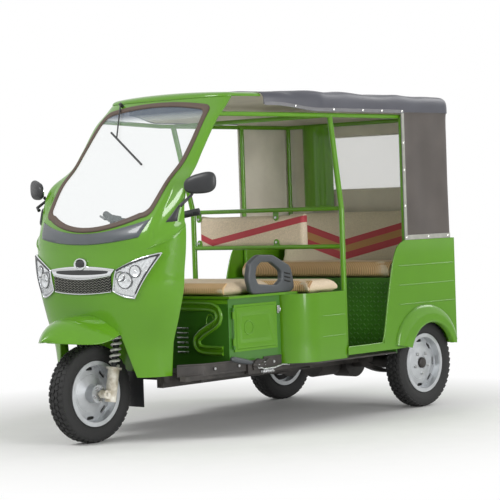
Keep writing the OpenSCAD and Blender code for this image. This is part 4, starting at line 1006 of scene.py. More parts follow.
@dataclass
class Mirrors:
    """Mirror pods with their glass, stalks and feet."""

    skin: FrontSkin
    relief: Callable[[Array], Array]
    centre: tuple[float, float, float] = (590, -772, 1279)
    toe: float = 24.0
    half: Pair = (84, 50)
    depths_front_and_back: Pair = (27, 11)
    slant: float = 0.12
    glass_half: Pair = (67, 40)
    stalk_z: float = 1172.0
    foot_z: float = 1098.0
    foot_tall: float = 90.0

    @staticmethod
    def bend(wave: Array, power: float) -> Array:
        """Squares a wave."""
        return np.sign(wave) * np.abs(wave) ** power

    def set_up(self, points: Array, side: Side) -> Array:
        """Returns points round a pod's middle, turned by its toe and moved to their place."""
        turn = np.array(Matrix.Rotation(math.radians(self.toe), 3, "Z").transposed())
        return (points @ turn + np.array(self.centre)) * side.flip

    def pod(self, side: Side) -> None:
        """Builds a pod and its stalk."""
        lat, lon = np.meshgrid(np.linspace(-math.pi / 2, math.pi / 2, 25), ring_angles(48), indexing="ij")
        slim = self.bend(np.cos(lat), 0.7)
        x = self.half[0] * slim * self.bend(np.cos(lon), 0.72)
        z = (self.half[1] + 0.1 * x) * slim * self.bend(np.sin(lon), 0.72) + self.slant * x
        y = np.where(np.sin(lat) < 0, *self.depths_front_and_back) * self.bend(np.sin(lat), 0.8)
        pod = Shape()
        pod.grid(self.set_up(coords(x, y, z), side), loop=True)
        foot = self.skin.at(float(self.skin.width(np.array(self.stalk_z))) * 0.985, self.stalk_z, 9)
        centre = np.array(self.centre)
        stalk = np.array([foot, foot + [18, 4, 14], centre + [-62, 0, -56], centre + [-48, 0, -36]])
        pod.tube(stalk * side.flip, [10, 8, 7, 9], 12)
        pod.put(f"mirror_pod_{side.tag}", BLACK_PLASTIC, replaces=side.stands_for("mirrors"), smooth=60)

    def glass(self, side: Side) -> None:
        """Builds a mirror glass, a little domed."""
        g = ring_angles(48)
        x = self.glass_half[0] * self.bend(np.cos(g), 0.72)
        z = self.glass_half[1] * self.bend(np.sin(g), 0.72) + 8 * np.cos(g)
        rows = [coords(k * x, y, k * z)
                for k, y in ((1.03, 9.4), (1.03, 11.8), (0.98, 12.4), (0.5, 12.8), (0.001, 13))]
        glass = Shape()
        glass.grid(self.set_up(np.array(rows), side), loop=True)
        glass.put(f"mirror_glass_{side.tag}", MIRROR)

    def foot(self, side: Side) -> None:
        """Builds the three-cornered foot on the body's edge."""
        p, q = np.meshgrid(np.linspace(0, 1, 15), np.linspace(0, 1, 15))
        z = self.foot_z + self.foot_tall * q
        x = self.skin.width(z) * (0.985 - 0.085 * p * (1 - q) ** 0.8)
        lift = 1.2 + 8 * rise(np.minimum(p, 1 - p) * 40, 12, 2) * rise(np.minimum(q, 1 - q) * 60, 14, 2)
        step = self.relief(self.skin.at(x, z))
        self.skin.patch(x, z, step + lift, step + 0.6, side).put(f"mirror_foot_{side.tag}", BLACK_PLASTIC)

    def build(self) -> None:
        """Builds both mirrors."""
        for side in Side:
            self.pod(side)
            self.glass(side)
            self.foot(side)


@dataclass
class FrontBody:
    """Cowl with pillars, windscreen, hood and mudguard, and what stands on them."""

    skin: FrontSkin
    screen: Windscreen
    wall: float = 6.0
    cowl_low: float = 330.0
    cowl_high: float = 1010.0
    spread_from: float = 700.0
    arch_half: float = 217.0
    arch_flare: float = 61.0
    arch_top: float = 556.0
    frame_top: float = 1726.0
    middle_cols: int = 40
    side_cols: int = 26
    shoulder_depth: float = 13.0
    shoulder_point: Pair = (-985.0, 948.0)
    shoulder_run_and_climb: Pair = (185.0, 127.0)
    shoulder_length: float = 224.0
    shoulder_ends: Pair = (968.0, 1076.0)
    seal_seat: float = 12.0
    pane_inset: float = 13.2
    seal_profile: tuple = ((0, 0.8), (1, 4.5), (4, 8), (10, 9.5), (12, 8.4), (14, 9.5), (20, 8),
                           (23, 4.5), (24, 0.8))
    band_half_and_flare: Pair = (350.0, 35.0)
    band_edges: Pair = (60.0, 6.0)
    band_bow: float = 33.0
    hood_back: float = -167.0
    hood_tall_and_crown: Pair = (20.0, 14.0)
    hood_edge: float = 50.0

    def relief(self, p: Array) -> Array:
        """Returns how far the skin steps in above the shoulder line, at points on the skin."""
        x, y, z = np.abs(p[..., 0]), p[..., 1], p[..., 2]
        (y0, z0), (run, climb) = self.shoulder_point, self.shoulder_run_and_climb
        over = (-(y - y0) * climb + (z - z0) * run) / self.shoulder_length
        screen_edge = self.screen.half(np.clip((z - 1118) / 588, 0.1, 0.9), 0)
        clear_of_seal = smoothstep(14, 46, x - screen_edge)
        fade = smoothstep(345, 420, x) * (1 - smoothstep(1215, 1330, z))
        return -self.shoulder_depth * smoothstep(2, 22, over) * clear_of_seal * fade

    def shell(self) -> None:
        """Builds the cowl with the pillars as one moulded skin."""
        u = np.linspace(-1, 1, self.middle_cols + 1)
        ease = np.sin(np.linspace(0, math.pi / 2, self.side_cols + 1))[1:]

        def row(xs: Array, zs: Array) -> tuple[Array, Array]:
            """Widens the middle columns of a row to the skin's side edges."""
            end_z = zs[-1]
            side = xs[-1] + (self.skin.width(end_z) - xs[-1]) * ease
            flat = np.full(len(side), end_z)
            return np.concatenate([-side[::-1], xs, side]), np.concatenate([flat, zs, flat])

        rows, holes = [], []
        base_half = self.screen.half(np.array(0.0), self.seal_seat)
        tall = self.arch_top - self.cowl_low
        for z in np.concatenate([np.linspace(self.cowl_low, self.arch_top, 19),
                                 np.linspace(self.arch_top + 10, self.cowl_high, 38)]):
            half = self.arch_half + self.arch_flare * max(0.0, (self.arch_top - z) / tall)
            half += (base_half - self.arch_half) * smoothstep(self.spread_from, self.cowl_high, z)
            rows.append(row(u * half, np.full(len(u), z)))
            holes.append(z < self.arch_top)
        x0, z0 = self.screen.at(u, np.zeros_like(u), self.seal_seat)
        for k in np.linspace(0, 1, 8)[1:-1]:
            rows.append(row(x0, self.cowl_high + (z0 - self.cowl_high) * k))
            holes.append(False)
        bends = [0, 0.006, 0.012, 0.022, 0.032, 0.045, 0.06, 0.072]
        for v in np.array(bends + list(np.linspace(0.09, 0.91, 36)) + [1 - b for b in reversed(bends)]):
            rows.append(row(*self.screen.at(u, np.full(len(u), v), self.seal_seat)))
            holes.append(v < 1)
        for z in (self.frame_top - 7, self.frame_top):
            rows.append(row(u * self.screen.half(np.array(1.0), self.seal_seat), np.full(len(u), z)))
            holes.append(False)
        x, z = np.array([r[0] for r in rows]), np.array([r[1] for r in rows])
        step = self.relief(self.skin.at(x, z))
        made = Shape()
        made.shell(self.skin.at(x, z, step), self.skin.at(x, z, step - self.wall),
                   lambda i, j: holes[i] and self.side_cols <= j < self.side_cols + self.middle_cols)
        made.put("front_shell", GREEN, replaces=["front_cowl", "windscreen_frame"])

    def crease(self) -> None:
        """Builds the rounded crease along each side's shoulder line."""
        low, high = self.shoulder_ends
        (y0, z0), (run, climb) = self.shoulder_point, self.shoulder_run_and_climb
        z = np.linspace(low, high, 44)
        edge, nose = self.skin.ends(z)
        part = np.clip((edge - (y0 + (z - z0) * run / climb)) / (edge - nose), 0, 1) ** self.skin.square
        line = self.skin.at(self.skin.width(z) * (1 - part) ** (1 / self.skin.square), z, 0.6)
        radius = np.interp(z, [low, low + 17, high - 10, high], [1.2, 3.4, 3.4, 1.2])
        crease = Shape()
        for side in Side:
            crease.tube(line * side.flip, radius, 8)
        crease.put("shoulder_crease", GREEN, smooth=60)

    def glazing(self) -> None:
        """Builds the windscreen, its seal and the grey band under it."""
        u, v = np.meshgrid(np.linspace(-1, 1, 41), np.concatenate(
            [[0, 0.01, 0.025, 0.045, 0.07], np.linspace(0.1, 0.9, 25), [0.93, 0.955, 0.975, 0.99, 1]]))
        pane = self.skin.patch(*self.screen.at(u, v, self.pane_inset), -0.5, -5)
        pane.put("windscreen_pane", GLASS, replaces=["windscreen_glass"])
        line = np.linspace(-1, 1, 49)
        bends = np.concatenate([[0.006, 0.014, 0.024, 0.036, 0.05, 0.07], np.linspace(0.1, 0.9, 33),
                                [0.93, 0.95, 0.964, 0.976, 0.986, 0.994]])
        ring = ([(a, 0.0) for a in line] + [(1.0, b) for b in bends] + [(a, 1.0) for a in line[::-1]]
                + [(-1.0, b) for b in bends[::-1]])
        u, v = np.array(ring).T
        rows = [self.skin.at(*self.screen.at(u, v, inset), height) for inset, height in self.seal_profile]
        seal = Shape()
        seal.grid(np.array(rows + rows[:1]), loop=True)
        seal.put("windscreen_gasket", SEAL, replaces=["windscreen_seal"], smooth=50)
        u, t = np.meshgrid(np.linspace(-1, 1, 61), np.array([0, 0.02, 0.06, 0.3, 0.5, 0.7, 0.94, 0.98, 1]))
        low = self.screen.low - self.band_edges[0] + self.band_bow * u * u
        high = self.screen.low - self.band_edges[1] + self.screen.bottom_rise * u * u
        lift = 6 * rise(np.minimum(t, 1 - t) * 60, 5, 2) * rise((1 - np.abs(u)) * 360, 8, 2) + 0.9
        x = u * (self.band_half_and_flare[0] + self.band_half_and_flare[1] * t)
        band = self.skin.patch(x, low + (high - low) * t, lift, 0.6)
        band.put("cowl_band_panel", BAND, replaces=["cowl_band"])

    def hood(self) -> None:
        """Builds the hood over the windscreen."""
        z0, lip = self.frame_top + 0.3, 3.0
        tall, crown = self.hood_tall_and_crown
        half_front = float(self.skin.width(np.array(self.frame_top)))
        k = np.linspace(-1, 1, 61)
        a, s = np.meshgrid(np.sign(k) * (1 - (1 - np.abs(k)) ** 1.7), np.linspace(0, 1, 41) ** 1.8)

        def layer(t: float) -> Array:
            """Returns the hood's surface at a depth below its skin."""
            front = self.skin.y(a * half_front, np.full_like(a, self.frame_top)) - lip + t
            y = front + (self.hood_back - front) * s
            w = half_front + (HOOD_HALF - half_front) * np.clip((y - front) / 310, 0, 1) ** 0.7 - t
            f = rise((1 - np.abs(a)) * w, self.hood_edge - t, 2) * rise(y - front, self.hood_edge - t, 2)
            return coords(a * w, y, z0 + (tall - t) * f + crown * f * (1 - a * a))

        made = Shape()
        made.shell(layer(0), layer(4))
        made.put("hood_moulding", GREEN, replaces=["roof_hood"])

    def mudguard(self) -> None:
        """Builds the ridged mudguard under the nose, with its rolled edge."""
        a, s = np.meshgrid(np.linspace(-1, 1, 57), np.linspace(1, 0, 45))
        tip_half, back_half, ridge_back, ridge_tip = 18, 222, 641, 534
        edge_back, dip, dip_end, edge_tip = 550, 38, 0.45, 526

        def layer(down: float) -> Array:
            """Returns the mudguard's surface, lowered by a depth."""
            x = a * (tip_half + (back_half - down - tip_half) * (1 - s ** 1.7) ** 0.7)
            ridge = ridge_back + (ridge_tip - ridge_back) * s ** 3.4
            sag = edge_back - dip * np.sin(math.pi / 2 * np.minimum(1, s / dip_end))
            edge = sag + (edge_tip - sag) * (np.maximum(0, s - dip_end) / (1 - dip_end)) ** 1.5
            z = ridge + (edge - ridge) * np.abs(a) ** 2.2 - down
            back = self.skin.y(np.minimum(np.abs(x), 214), np.maximum(z, self.arch_top)) - 0.3
            front = -HALF_L + down + 26 * a * a
            return coords(x, back + (front - back) * s, z)

        made = Shape()
        made.shell(layer(0), layer(4))
        made.put("mudguard_moulding", GREEN, replaces=["front_mudguard"])
        middle = layer(2)
        lip = Shape()
        lip.tube(np.concatenate([middle[::-1, 0], middle[0, 1:-1], middle[:, -1]]), 3.6, 8)
        lip.put("mudguard_rolled_edge", GREEN, smooth=60)

    def build(self) -> None:
        """Builds all of the front body."""
        self.shell()
        self.crease()
        self.glazing()
        Headlamps(self.skin).build()
        Grille(self.skin).build()
        self.hood()
        self.mudguard()
        Mirrors(self.skin, self.relief).build()


@dataclass
class Canopy:
    """Coated canvas over the tube frame: roof, curtains, window film, hem tapes and studs."""

    repeater: Repeater
    front: float = -166.7
    shoulder: float = 330.0
    height: float = 98.0
    crown: float = 20.0
    corner: float = 70.0
    plan_corner: float = 62.0
    front_lift: float = 34.0
    hoop_y_and_pitch: Pair = (375.0, 470.0)
    curtain_front: float = 850.0
    curtain_back: float = 1312.0
    curtain_corner: float = 60.0
    curtain_length: float = 2090.0
    cloth: float = 2.4
    window_half: float = 300.0
    window_heights: Pair = (1243.0, 1549.0)
    binding: float = 18.0
    lap: float = 6.0
    stud_inset: float = 13.0

    def half(self, y: Array) -> Array:
        """Returns the roof's half width, round at its back corners."""
        wide = HOOD_HALF + (HALF_W - HOOD_HALF) * np.clip((y - self.front) / self.shoulder, 0, 1) ** 0.8
        tail = np.clip(y - HALF_L + self.plan_corner, 0, self.plan_corner)
        return wide - self.plan_corner + np.sqrt(self.plan_corner ** 2 - tail ** 2)

    def hem(self, y: Array) -> Array:
        """Returns the height of the roof's hem, which is drawn up at its front."""
        return HEM_Z + self.front_lift * (1 - smoothstep(self.front + 30, self.front + 330, y))

    def folds(self, p: Array) -> Array:
        """Returns how far the roof's points rise or sink by slack, between hoops and in the front folds."""
        x, y = np.abs(p[..., 0]), p[..., 1]
        calm = rise(HALF_L - y, 120, 2) * smoothstep(0, 60, y - self.front)
        slack = 5.0 * waves(p * [1, 1, 0.6], 240, 4) * calm
        hoop, pitch = self.hoop_y_and_pitch
        sag = -7 * np.abs(np.sin(math.pi * (y - hoop) / pitch)) * smoothstep(150, 420, y)
        fold = 9 * np.exp(-((y + 70 - 0.5 * np.abs(p[..., 0] - 430)) / 26) ** 2) * smoothstep(300, 470, x)
        return slack + sag - fold

    def roof(self) -> None:
        """Builds the roof sheet with slack folds, and its hem tape."""
        k = np.linspace(-1, 1, 101)
        j = np.linspace(0, 1, 33)
        rows = np.concatenate([np.linspace(0, 0.92, 64), 1 - 0.08 * (1 - j[1:]) ** 2.2])
        a, s = np.meshgrid(np.sign(k) * (1 - (1 - np.abs(k)) ** 2.4), rows)

        def layer(t: float) -> Array:
            """Returns the sheet at a depth below its top."""
            y = self.front + (HALF_L - t - self.front) * s
            w = self.half(y) - t
            f = rise((1 - np.abs(a)) * w, self.corner, 4) * rise(HALF_L - t - y, 1.5 * self.corner, 3)
            low = self.hem(y)
            z = low + (HEM_Z + self.height - t - low) * f + self.crown * f * (1 - a * a)
            p = coords(a * w, y, z)
            p[..., 2] += self.folds(p) * np.clip(f, 0, 1) ** 2
            return p

        sheet = Shape()
        sheet.shell(layer(0), layer(self.cloth), slots=(0, 1))
        # The roof's face takes the canvas copy with painted light from above.
        top = sheet.put("canopy_roof", VINYL_LIT_ROOF, LINING, replaces=["canopy_cover"], smooth=50)
        profile = ((-6, 0.4), (-5, 1.8), (-2, 2.4), (1, 1.6), (9, 1.6), (11, 2.2), (13, 0.4))
        for side in Side:
            y = np.concatenate([np.linspace(self.front + 4, 330, 40),
                                np.linspace(345, self.curtain_front + 20, 40)])
            outer = np.stack([coords(side.value * (self.half(y) + d), y, self.hem(y) + h)
                              for h, d in profile])
            tape = Shape()
            tape.shell(outer, outer - np.array([side.value * 1.6, 0, 0]))
            made = tape.put(f"roof_hem_{side.tag}", ROOF_HEM)

    def curtain_line(self, count: int) -> tuple[Array, Array]:
        """Returns points and outward normals along the curtains' plan.

        Args:
            count: number of points, from the left front round the back to the right front.

        Returns:
            Points and normals, each as x and y.
        """
        r, half = self.curtain_corner, HALF_W - 1
        back, right_angle = self.curtain_back - r, math.pi / 2
        straight, width, bend = back - self.curtain_front, 2 * (half - r), right_angle * r
        stops = np.cumsum([straight, bend, width, bend, straight])
        d = np.linspace(0, stops[-1], count)
        angle = np.interp(d, stops[:4], [0, right_angle, right_angle, math.pi])
        normals = coords(np.cos(angle), np.sin(angle))
        x = np.interp(d, stops[1:3], [half - r, r - half])
        y = np.interp(d, [0, stops[0], stops[3], stops[4]],
                      [self.curtain_front, back, back, self.curtain_front])
        return coords(x, y) + r * normals, normals

    def curtains(self) -> None:
        """Builds the wrap-round curtain with its window hole and hanging folds, and the window's film."""
        line, way = self.curtain_line(241)
        low, high = self.window_heights
        heights = np.concatenate([np.linspace(BELT_Z, low, 19), np.linspace(low, high, 25)[1:],
                                  np.linspace(high, HEM_Z - 0.3, 9)[1:]])
        window = [abs(p[0]) <= self.window_half and p[1] > 1300 for p in (line[:-1] + line[1:]) / 2]
        z = np.repeat(heights[:, None], len(line), 1)
        p = coords(line[:, 0], line[:, 1], z)
        along = np.broadcast_to(np.linspace(0, self.curtain_length, len(line)), z.shape)
        slope = waves(coords(along, z * 0.22, 0), 150, 11)
        drag = np.sin((along - 0.33 * (HEM_Z - z)) / 46) * smoothstep(0, 500, HEM_Z - z)
        hold = (rise(z - BELT_Z, 90, 2) * rise(HEM_Z - z, 90, 2) * rise(along, 60, 2)
                * rise(self.curtain_length - along, 60, 2))
        behind = p[..., 1] > 1290
        beside_window = np.clip((np.abs(p[..., 0]) - self.window_half) / 60, 0, 1)
        depth = -(4.2 + 3.4 * slope + 1.6 * drag) * hold * np.where(behind, beside_window, 1)
        n = coords(way[:, 0], way[:, 1], 0)[None]
        outer = p + depth[..., None] * n
        cells = (heights[:-1] + heights[1:]) / 2
        sheet = Shape()
        sheet.shell(outer, outer - self.cloth * n, lambda i, j: low < cells[i] < high and window[j],
                    slots=(0, 1))
        made = sheet.put("canopy_curtain", VINYL, LINING, replaces=["curtains"], smooth=50)
        reach = self.window_half + self.lap
        a, b = np.meshgrid(np.linspace(-reach, reach, 31), np.linspace(low - self.lap, high + self.lap, 17))
        back = self.curtain_back - 3 + 1.2 * np.sin(a / 60) * np.sin(b / 50)
        film = Shape()
        film.shell(coords(a, back, b), coords(a, back - 1.2, b))
        film.put("rear_window_film", FILM, replaces=["rear_window"])

    def tapes(self) -> None:
        """Builds the curtains' tapes and the band round the window."""
        line, way = self.curtain_line(241)
        n = coords(way[:, 0], way[:, 1], 0)
        rows = np.array([coords(line[:, 0], line[:, 1], BELT_Z + h) + d * n
                         for h, d in ((1, 0.4), (2, 1.4), (26, 1.4), (27, 0.4))])
        hem = Shape()
        hem.shell(rows, rows - 1.2 * n[None])
        made = hem.put("curtain_hem", HEM)
        (low, high), inner, outer = self.window_heights, self.window_half, self.window_half + self.binding
        band = Shape()
        for x0, x1, z0, z1 in ((-outer, outer, high, high + self.binding),
                               (-outer, outer, low - self.binding, low),
                               (-outer, -inner, low, high), (inner, outer, low, high)):
            band.block((x0, self.curtain_back + 0.4, z0), (x1, self.curtain_back + 2, z1))
        band.put("window_binding", VINYL, bevel=0.6)
        z = np.linspace(BELT_Z + 2, HEM_Z - 3, 40)
        for side in Side:
            rows = np.stack([coords(side.value * (HALF_W - 1 + d),
                                       self.curtain_front + y, z)
                             for y, d in ((-2, -2.4), (-1.6, 1.6), (20, 1.8), (21, 0.2))])
            edge = Shape()
            edge.shell(rows, rows - np.array([side.value * 1.4, 0, 0]))
            made = edge.put(f"curtain_front_tape_{side.tag}", HEM)

    def studs(self) -> None:
        """Sets the studs along the roof's hem, the curtains' front edges and their lower hem."""
        first_y, low_z = 4.0, BELT_Z + self.stud_inset
        first_x, first_z = (float(f(np.array(first_y))) for f in (self.half, self.hem))
        places = []
        for side in Side:
            out = facing((side.value, 0, 0))
            places += [((side.value * (HALF_W + 2), y, HEM_Z + 5), out) for y in (258, 506, 672, 853)]
            places += [((side.value * (HALF_W + 1), 859, z), out) for z in (1480, 1331, 1132)]
            places += [((side.value * (HALF_W + 1), y, low_z), out) for y in (862, 1066, 1250)]
            places.append(((side.value * (first_x + 2), first_y, first_z + 5), out))
        places += [((x, self.curtain_back + 1, low_z), facing((0, 1, 0))) for x in (-480, -240, 0, 240, 480)]
        stud = Shape()
        stud.turn([(7, -0.6), (7, 0.6), (5.6, 2.2), (2.5, 3.2), (0, 3.4)], ORIGIN, UP, 20)
        place(self.repeater.spread("canopy_studs", stud, places, STUD), "root")

    def build(self) -> None:
        """Builds the whole canopy."""
        self.roof()
        self.curtains()
        self.tapes()
        self.studs()


@dataclass
class Pad:
    """A stuffed cushion, swollen by cloth simulation.

    Attributes:
        name: of the piece.
        node: CAD node that it replaces.
        finish: its cover.
        ribs: whether its front has sewn channels.
        cap: furthest that a point may swell.
        shrink: how much smaller than the CAD solid it starts.
        fill: how tight it is; not used.
        voxel: size of the remeshed cells.
        pitch: width of a channel.
    """

    name: str
    node: str
    finish: Finish
    ribs: bool = True
    cap: float = 14.0
    shrink: float = 9.0
    fill: float = 0.7
    voxel: float = 11.0
    pitch: float = 13.0
    steps: int = 16
    margin: float = 0.4
    crown: float = 4.0
    seam_back: float = 36.0
    seam_width: float = 4.0
    seam_depth: float = 3.4
    channel_rows: int = 13
    channel_edge: float = 24.0
    channel_lift: float = 3.2
    channel_wall: float = 6.0

    def start(self) -> Object:
        """Returns a smaller copy of the CAD solid, remeshed."""
        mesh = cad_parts[self.node].data.copy()
        low, high = (np.array(c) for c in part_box(self.node))
        middle = (low + high) / 2
        co = np.array([v.co for v in mesh.vertices])
        smaller = 1 - 2 * self.shrink * MM / (high - low)
        mesh.vertices.foreach_set("co", (middle + (co - middle) * smaller).ravel())
        cover = bpy.data.objects.new(self.name, mesh)
        bpy.context.scene.collection.objects.link(cover)
        remesh = cover.modifiers.new("remesh", "REMESH")
        remesh.mode = "VOXEL"
        remesh.voxel_size = self.voxel * MM
        return self.apply(cover)

    @staticmethod
    def apply(cover: Object) -> Object:
        """Turns the evaluated object to a plain mesh."""
        bpy.context.view_layer.update()
        mesh = bpy.data.meshes.new_from_object(cover.evaluated_get(bpy.context.evaluated_depsgraph_get()))
        cover.modifiers.clear()
        cover.data = mesh
        return cover

    def swell(self, cover: Object) -> None:
        """Runs the cloth under pressure and keeps each point within its cap."""
        rest = np.array([v.co for v in cover.data.vertices])
        cloth = cover.modifiers.new("cloth", "CLOTH")
        cloth.settings.use_pressure = True
        cloth.settings.uniform_pressure_force = 4.0
        cloth.settings.effector_weights.gravity = 0.0
        cloth.settings.quality = 4
        cloth.point_cache.frame_start, cloth.point_cache.frame_end = 1, self.steps
        for step in range(1, self.steps + 1):
            bpy.context.scene.frame_set(step)
        self.apply(cover)
        bpy.context.scene.frame_set(1)
        move = np.array([v.co for v in cover.data.vertices]) - rest
        far = np.linalg.norm(move, axis=1)[:, None]
        now = rest + move * np.minimum(1, self.cap * MM / np.maximum(far, 1e-9))
        low, high = (np.array(c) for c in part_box(self.node))
        now = np.clip(now, low + self.margin * MM, high + [0.0, 0.0, self.crown * MM])
        cover.data.vertices.foreach_set("co", now.ravel())

    def sew(self, cover: Object) -> None:
        """Smooths the cover, presses a seam into its top and sews channels to its front."""
        smooth = cover.modifiers.new("smooth", "SUBSURF")
        smooth.levels = smooth.render_levels = 1
        mesh = self.apply(cover).data
        co = np.array([v.co for v in mesh.vertices])
        normals = np.array([v.normal for v in mesh.vertices])
        low, high = (np.array(c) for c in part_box(self.node))
        joined = bmesh.new()
        if self.ribs:
            behind = co[:, 1] - low[1] - self.seam_back * MM
            seam = np.exp(-(behind / (self.seam_width * MM)) ** 2) * (normals[:, 2] > 0.5)
            co -= normals * (self.seam_depth * MM * seam)[:, None]
            mesh.vertices.foreach_set("co", co.ravel())
            front = self.channels(co, low, high)
            joined.from_mesh(front.data)
            bpy.data.objects.remove(front)
        # Each channel point's share from its groove, which gets painted shade, to its crest; the pad's own
        # points get none.
        ribbed = [0.5 + 0.5 * abs(math.sin(math.pi * v.co.x / (self.pitch * MM))) for v in joined.verts]
        joined.from_mesh(mesh)
        joined.to_mesh(mesh)
        joined.free()
        mark = mesh.attributes.new("rib", "FLOAT", "POINT")
        mark.data.foreach_set("value", np.concatenate([ribbed, np.zeros(len(co))]).astype(np.float32))
        mesh.materials.clear()
        mesh.materials.append(self.finish.material())
        mesh.shade_smooth()

    def channels(self, co: Array, low: Array, high: Array) -> Object:
        """Returns a panel of sewn channels that follows the pad's front.

        Args:
            co: the pad's points in metres.
            low: lowest corner of the CAD solid.
            high: its highest corner.

        Returns:
            The panel as an object of its own.
        """
        rows = self.channel_rows
        inner = np.abs(co[:, 0]) < 0.6 * high[0]
        heights = np.linspace(low[2] + 0.007, co[inner, 2].max() - 0.002, rows)
        front = np.array([co[inner & (np.abs(co[:, 2] - h) < 0.006), 1].min() for h in heights])
        line = coords(front, heights) / MM
        out = sideways(line)
        half = high[0] / MM - self.channel_edge
        x = np.linspace(-half, half, int(2 * half / self.pitch * 6))
        wave = np.abs(np.sin(math.pi * x / self.pitch)) ** 0.7 * rise(half - np.abs(x), 12, 2)
        ends = rise(np.minimum(np.arange(rows), np.arange(rows)[::-1]), 2, 2)
        lift = 0.4 + self.channel_lift * wave[None] * ends[:, None]
        outer = coords(x, line[:, :1] + out[:, :1] * lift, line[:, 1:] + out[:, 1:] * lift)
        inward = np.concatenate([np.zeros((rows, 1)), self.channel_wall * out], 1)
        panel = Shape()
        panel.shell(outer, outer - inward[:, None])
        return panel.build(self.name + "_channels", self.finish, smooth=80)

    def build(self) -> None:
        """Builds the pad."""
        cover = self.start()
        self.swell(cover)
        self.sew(cover)
        place(cover, "root", [self.node])


@dataclass
class Wheel:
    """A tyre with tread blocks, the nuts and cap of its rim, and the beads of its disc with a dark ring of
    painted shade behind its slots.
    """

    repeater: Repeater
    name: str
    body: str
    node: str
    centre: tuple[float, float, float]
    outward: int = 1
    nut_face: float = 61.0
    nut_circle: float = 34.0
    capped: bool = False
    disc_face: float = 12.0
    nut_count: int = 5
    rim: float = 150.6
    block_rows: tuple[float, ...] = (-37, -12.5, 12.5, 37)
    block_count: int = 46
    tread: float = 6.0
    edge_row: float = 30.0

    def tyre(self) -> None:
        """Builds the carcass with its sidewall rings, and the tread blocks."""
        base = TYRE_R - self.tread
        side = [(self.rim, 39.3), (167, 39.4), (170, 42.5), (176, 45), (179, 47.6), (183, 47.4), (187, 49.4),
                (200, 51.6), (212, 52.2), (215, 51.2), (219, 51.4), (228, 49), (235, 45.5), (base - 2, 40),
                (base, 33), (base, 12)]
        carcass = Shape()
        carcass.turn(side + [(r, -x) for r, x in reversed(side)], self.centre, ACROSS, 120, ring=True)
        carcass.put(f"{self.name}_carcass", RUBBER, body=self.body, replaces=[self.node], smooth=45)
        half = FULL_TURN * TYRE_R / self.block_count * 0.66 / 2
        block = Shape()
        block.block((-10.2, -half, -1.5), (10.2, half, self.tread - 0.4))
        places = []
        for k, x in enumerate(self.block_rows):
            on_edge = abs(x) > self.edge_row
            drop = 3.2 if on_edge else 0.3
            tilt = Matrix.Rotation(math.copysign(math.radians(24), x) if on_edge else 0, 3, "Y")
            skew = Matrix.Rotation(math.radians(16 if x > 0 else -16), 3, "Z")
            for i in range(self.block_count):
                angle = FULL_TURN * (i + 0.5 * (k % 2)) / self.block_count
                spot = Vector((x, math.sin(angle) * (base - drop), math.cos(angle) * (base - drop)))
                turn = Matrix.Rotation(-angle, 3, "X") @ tilt @ skew
                places.append((tuple(Vector(self.centre) + spot), turn))
        made = self.repeater.spread(f"{self.name}_tread", block, places, RUBBER, bevel=1.2)
        place(made, self.body)

    def nuts(self) -> None:
        """Sets the wheel nuts, and a domed hub cap where there is one."""
        nut = Shape()
        nut.turn([(10.5, 0), (10.5, 8), (8.6, 10), (5.5, 10), (5.5, 15), (4.5, 16), (0, 16)], ORIGIN, UP, 6)
        seat = Vector(self.centre) + Vector((self.outward * self.nut_face, 0, 0))
        way = (self.outward, 0, 0)
        places = []
        for i in range(self.nut_count):
            angle = FULL_TURN * (i + 0.5) / self.nut_count
            spot = Vector((0, math.sin(angle), math.cos(angle))) * self.nut_circle
            places.append((tuple(seat + spot), facing(way)))
        made = self.repeater.spread(f"{self.name}_nuts", nut, places, STEEL, smooth=30)
        place(made, self.body)
        if self.capped:
            cap = Shape()
            cap.turn([(30, -1), (30, 10), (28, 14), (20, 18), (9, 20), (0, 20.4)], seat, way, 40)
            cap.put(f"{self.name}_cap", CHASSIS, body=self.body, slot=RIM.slot)

    def disc(self) -> None:
        """Builds a dark ring of painted shade behind the disc's slots, and the beads pressed round the disc."""
        way, face = (self.outward, 0, 0), self.disc_face
        # Painted shade: a dark ring for the shade inside the wheel, seen through the slots.
        shade_ring = Shape()
        section = [(r, face + x) for r, x in ((106, -23.5), (134, -29), (134, -31), (106, -25.5))]
        shade_ring.turn(section, self.centre, way, 72, ring=True)
        shade_ring.put(f"{self.name}_dust_ring", SHADE_BLACK, body=self.body, smooth=40)
        beads = Shape()
        for r, x in ((101, -13.4), (92, -11.2)):
            section = [(r + 2.6 * math.cos(g), face + x + 1.8 * math.sin(g)) for g in ring_angles(8)]
            beads.turn(section, self.centre, way, 72, ring=True)
        beads.put(f"{self.name}_disc_beads", RIM, body=self.body, smooth=60)

    def build(self) -> None:
        """Builds all of the wheel."""
        self.tyre()
        self.nuts()
        self.disc()


